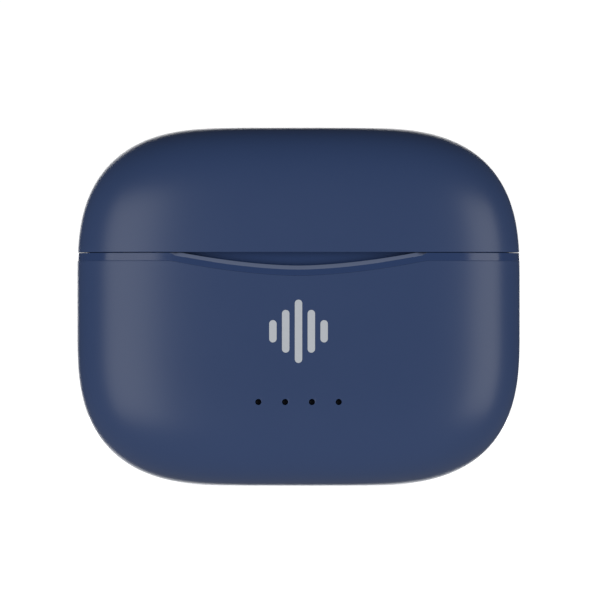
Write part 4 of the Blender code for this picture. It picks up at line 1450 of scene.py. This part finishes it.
@dataclass
class SpringPins:
    """The four spring contacts under the stems."""

    barrel: float = 1.15 * MM
    rim: float = 1.0 * MM
    bore: float = 0.75 * MM
    edge: float = 0.12 * MM
    flange: float = 0.4 * MM
    corner: float = 0.15 * MM
    plunger: float = 0.45 * MM
    foot_edge: float = 0.08 * MM
    tip: float = 0.26 * MM
    coil: float = 0.40 * MM
    wire: float = 0.09 * MM
    turns: float = 5.0
    wire_sides: int = 10

    def build(self) -> None:
        """Make barrels, plungers and coils."""
        coils = self._coil_rule()
        for pin in PINS:
            self._barrel(pin)
            self._plunger(pin)
            self._spring(pin, coils)

    def _barrel(self, pin: str) -> None:
        """A barrel with a rolled mouth and a flange at its foot."""
        node = "pogo_barrel_" + pin
        low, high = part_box(node)
        spot, edge, bore, rim = centre_of(node), self.edge, self.bore, self.rim
        floor = low.z + self.flange
        profile = ((bore - self.corner, floor), (bore, floor + self.corner), (bore, high.z - edge),
                   (bore + edge, high.z), (rim - edge, high.z), (rim, high.z - edge), (rim, low.z + 0.5 * MM),
                   (self.barrel, floor), (self.barrel, low.z + edge), (self.barrel - edge, low.z))
        obj = new_object("spring_pin_barrel_" + pin, turned(pin, profile, MEDIUM, (spot.x, spot.y, 0.0)),
                         CONTACT_GOLD)
        fit_out_smooth(obj, "base", "contact", node)

    def _plunger(self, pin: str) -> None:
        """A plunger with a rounded tip."""
        node = "pogo_plunger_" + pin
        low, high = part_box(node)
        spot, radius, tip = centre_of(node), self.plunger, self.tip
        profile = [(radius - self.foot_edge, low.z), (radius, low.z + self.foot_edge)]
        profile += arc((radius - tip, high.z - tip), (tip, tip), 0, 84, 8)
        body = turned(pin, profile, MEDIUM, (spot.x, spot.y, 0.0))
        obj = new_object("spring_pin_" + pin, body, CONTACT_GOLD)
        fit_out_smooth(obj, "plunger_" + pin, "contact", node)

    def _coil_rule(self) -> Rule:
        """The geometry tree of a coil spring that follows a helix."""
        inputs = ("Radius", "Wire", "Height", "Turns", "X", "Y", "Z")
        rule = Rule("coil_spring", dict.fromkeys(inputs, "Float"))
        graph, given = rule.graph, rule.given
        radius = given.out("Radius")
        helix = graph.node("GeometryNodeCurveSpiral", {
            "Resolution": TINY, "Rotations": given.out("Turns"), "Start Radius": radius, "End Radius": radius,
            "Height": given.out("Height")}, "Curve")
        section = graph.node("GeometryNodeCurvePrimitiveCircle", {
            "Resolution": self.wire_sides, "Radius": given.out("Wire")}, "Curve", mode="RADIUS")
        wire = graph.node("GeometryNodeCurveToMesh", {"Curve": helix, "Profile Curve": section,
                                                      "Fill Caps": True})
        place = graph.vector(*(given.out(axis) for axis in "XYZ"))
        rule.hand_out(graph.node("GeometryNodeTransform", {"Geometry": wire, "Translation": place}))
        return rule

    def _spring(self, pin: str, coils: Rule) -> None:
        """A coil between the barrel's floor and the plunger's foot."""
        node, joint = "pogo_spring_" + pin, "plunger_" + pin + "_press"
        low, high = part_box(node)
        x, y, height = centre_of("pogo_plunger_" + pin).x, centre_of(node).y, high.z - low.z
        obj = coils.run("spring_pin_coil_" + pin, HINGE_STEEL, {
            "Radius": self.coil, "Wire": self.wire, "Height": height - 2 * self.wire, "Turns": self.turns,
            "X": x, "Y": y, "Z": low.z + self.wire})
        outward(obj.data)
        fit_out_smooth(obj, "base", "steel", node, sharp_over=50.0)
        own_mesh(obj)


@dataclass
class Electronics:
    """Finishes of the plain inner nodes, and the small parts on the main board."""

    copies: Copies
    small_parts: int = 26
    in_a_row: int = 13
    part_pitch: float = 1.35 * MM
    row_pitch: float = 1.1 * MM
    first_row: float = 0.7 * MM
    part_half: float = 0.22 * MM
    part_thick: float = 0.28 * MM
    part_edge: float = 0.05 * MM
    kept_free: float = 5.0 * MM

    def build(self) -> None:
        """Dress the nodes and set out the small parts."""
        dressed = (
            (MAGNET_NICKEL, (*pair("base_magnet"), *pair("bud_magnet"), *pair("lid_magnet"),
                             "lid_sensor_magnet")),
            (BOARD_MASK, ("main_board", "indicator_board", *pair("contact_board"))),
            (FLEX_FILM, ("battery_flex", *pair("contact_flex"))),
            (CHIP_BLACK, ("battery_connector", "control_chip", "charge_chip", "button_switch")),
            (CELL_FOIL, ("battery_cell",)),
            (PAD_FOAM, ("battery_pad",)),
            (LAMP_RESIN, LAMPS),
        )
        for finish, nodes in dressed:
            for node in nodes:
                self._dress(node, finish)
        self._set_small_parts()

    @staticmethod
    def _dress(node: str, finish: Finish) -> None:
        """Give a kept CAD node its finish."""
        materials = frame["nodes"][node].data.materials
        if not materials:
            materials.append(finish.make())
        for index in range(len(materials)):
            materials[index] = finish.make()
        LOG.info("%s is dressed as %s", node, finish.name)

    def _set_small_parts(self) -> None:
        """Small capacitors in rows on the main board's back, clear of its middle."""
        low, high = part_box("main_board")
        half = self.part_half
        part = block("part", (-2 * half, 0.0, -half), (2 * half, self.part_thick, half), self.part_edge, 1)
        places = []
        for index in range(self.small_parts):
            row, column = divmod(index, self.in_a_row)
            x = (column - self.in_a_row // 2) * self.part_pitch
            if abs(x) > self.kept_free:
                places.append((x, high.y, low.z + self.first_row + self.row_pitch * row))
        fit_out(self.copies.set_out("board_parts", part, places, CELL_FOIL), "base", "chip")


class Bearing(Enum):
    """Which way a softbox stands from the case, in degrees from the viewer's side, negative to the left."""

    LEFT = -45.0
    RIGHT = 61.0
    BACK = 184.0


@dataclass(frozen=True)
class Softbox:
    """A soft light that faces the case, with its angles in degrees as the case sees them."""

    name: str
    bearing: Bearing
    wide: float
    tall: float
    radiance: float
    rise: float = 0.0
    metal_only: bool = False


SOFTBOXES = (
    Softbox("key_left", Bearing.LEFT, 42.0, 50.0, 2.9),
    Softbox("key_right", Bearing.RIGHT, 37.0, 46.0, 3.1),
    Softbox("back_fill", Bearing.BACK, 32.0, 44.0, 2.4),
    Softbox("metal_back", Bearing.BACK, 70.0, 60.0, 0.9, 45.0, True),
    Softbox("metal_front", Bearing.LEFT, 70.0, 60.0, 0.9, 35.0, True),
    Softbox("metal_below", Bearing.RIGHT, 70.0, 60.0, 0.9, -60.0, True),
)


@dataclass
class Studio:
    """Camera, pale floor, softboxes and surroundings."""

    case: CaseFrame
    camera_away: float = 1.2
    camera_x: float = 0.2 * MM
    camera_z: float = 25.1 * MM
    camera_range: tuple[float, float] = (0.01, 50.0)
    view_width: float = 81.43 * MM
    sensor: float = 36.0
    lamp_away: float = 0.7
    floor_size: float = 8.0
    wash_energy: float = 4.2
    wash_angle: float = 60.0
    backdrop: float = 1.05
    room_light: float = 0.60
    fall_above: float = 1.15
    fall_below: float = 0.30
    reflected_room: float = 0.05
    reflected_floor: float = 0.36

    def build(self) -> None:
        """Set the studio up."""
        self._camera()
        self._floor()
        metal = self._metal_pieces()
        for softbox in SOFTBOXES:
            self._light(softbox, metal)
        self._surroundings()
        bpy.context.scene.view_settings.view_transform = "Standard"

    def _camera(self) -> None:
        """A level camera in front."""
        data = bpy.data.cameras.new("front_camera")
        data.sensor_width = self.sensor
        data.lens = self.sensor * self.camera_away / self.view_width
        data.clip_start, data.clip_end = self.camera_range
        camera = bpy.data.objects.new("front_camera", data)
        camera.location = (self.camera_x, -self.camera_away, self.camera_z)
        camera.rotation_euler = (math.pi / 2, 0.0, 0.0)
        bpy.context.scene.collection.objects.link(camera)
        bpy.context.scene.camera = camera

    def _floor(self) -> None:
        """A wide pale floor with a light of its own, which neither shades the case nor shows in it."""
        half = self.floor_size / 2
        mesh = bpy.data.meshes.new("floor")
        mesh.from_pydata([(-half, -half, 0), (half, -half, 0), (half, half, 0), (-half, half, 0)], [],
                         [(0, 1, 2, 3)])
        floor = new_object("floor", mesh, PALE_FLOOR)
        floor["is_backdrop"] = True
        wash = bpy.data.collections.new("floor_only")
        wash.objects.link(floor)
        data = bpy.data.lights.new("floor_wash", "SUN")
        data.energy = self.wash_energy
        data.angle = math.radians(self.wash_angle)
        light = bpy.data.objects.new("floor_wash", data)
        bpy.context.scene.collection.objects.link(light)
        light.light_linking.receiver_collection = wash
        light.light_linking.blocker_collection = wash
        floor.visible_diffuse = False
        floor.visible_glossy = False
        floor.visible_shadow = False

    def _metal_pieces(self) -> bpy.types.Collection:
        """The pieces with a metal finish, which alone catch the metal lights."""
        pieces = bpy.data.collections.new("metal_pieces")
        for obj in bpy.context.scene.objects:
            if METALS & {slot.material.name for slot in obj.material_slots if slot.material}:
                pieces.objects.link(obj)
        return pieces

    def _light(self, box: Softbox, metal: bpy.types.Collection) -> None:
        """Set a softbox up, for every piece or for the metal ones only."""
        data = bpy.data.lights.new(box.name, "AREA")
        data.shape = "RECTANGLE"
        data.size = 2 * self.lamp_away * math.tan(math.radians(box.wide / 2))
        data.size_y = 2 * self.lamp_away * math.tan(math.radians(box.tall / 2))
        data.energy = box.radiance * math.pi * data.size * data.size_y
        bearing, rise = math.radians(box.bearing.value), math.radians(box.rise)
        level = math.cos(rise)
        away = Vector((math.sin(bearing) * level, -math.cos(bearing) * level, math.sin(rise)))
        light = bpy.data.objects.new(box.name, data)
        light.location = away * self.lamp_away + Vector((0, 0, self.case.form.height / 2))
        light.rotation_euler = away.to_track_quat("Z", "Y").to_euler()
        bpy.context.scene.collection.objects.link(light)
        if box.metal_only:
            light.light_linking.receiver_collection = metal

    def _surroundings(self) -> None:
        """A white backdrop, an even room light that darkens upwards, and dim reflections."""
        world = bpy.data.worlds.new("room")
        world.use_nodes = True
        world.cycles.sampling_method = "NONE"
        bpy.context.scene.world = world
        graph = Graph(world.node_tree)
        background = world.node_tree.nodes["Background"]
        seen = graph.node("ShaderNodeLightPath", output="Is Camera Ray")
        way = graph.node("ShaderNodeTexCoord", output="Generated")
        height = graph.node("ShaderNodeSeparateXYZ", {0: way}, "Z")
        below = at_most(height, 0.0)
        fall = at_least(height, 0.0) * self.fall_above - below * self.fall_below
        room = at_least((1.0 - fall) * self.room_light, 0.0)
        mirrored = self.reflected_room - below * self.reflected_floor
        level = room + seen.out("Is Glossy Ray") * (mirrored - room)
        graph.link(level + seen * (self.backdrop - level), background, "Strength")
        background.inputs["Color"].default_value = (1.0, 1.0, 1.0, 1.0)


def main() -> None:
    """Build the case piece by piece, then the studio."""
    logging.basicConfig(level=logging.INFO, format="%(message)s")
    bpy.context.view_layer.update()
    case, wells, copies = CaseFrame.read(), Wells(), Copies()
    parts = (Covers(case), InnerTray(case, wells), Seats(case, wells), LidLiner(case, wells), Hinge(case),
             Screws(copies), BackButton(), ChargePort(copies), Indicators(case, copies), SpringPins(),
             Electronics(copies), FrontMark(case), Studio(case))
    for part in parts:
        part.build()


if __name__ == "__main__":
    main()
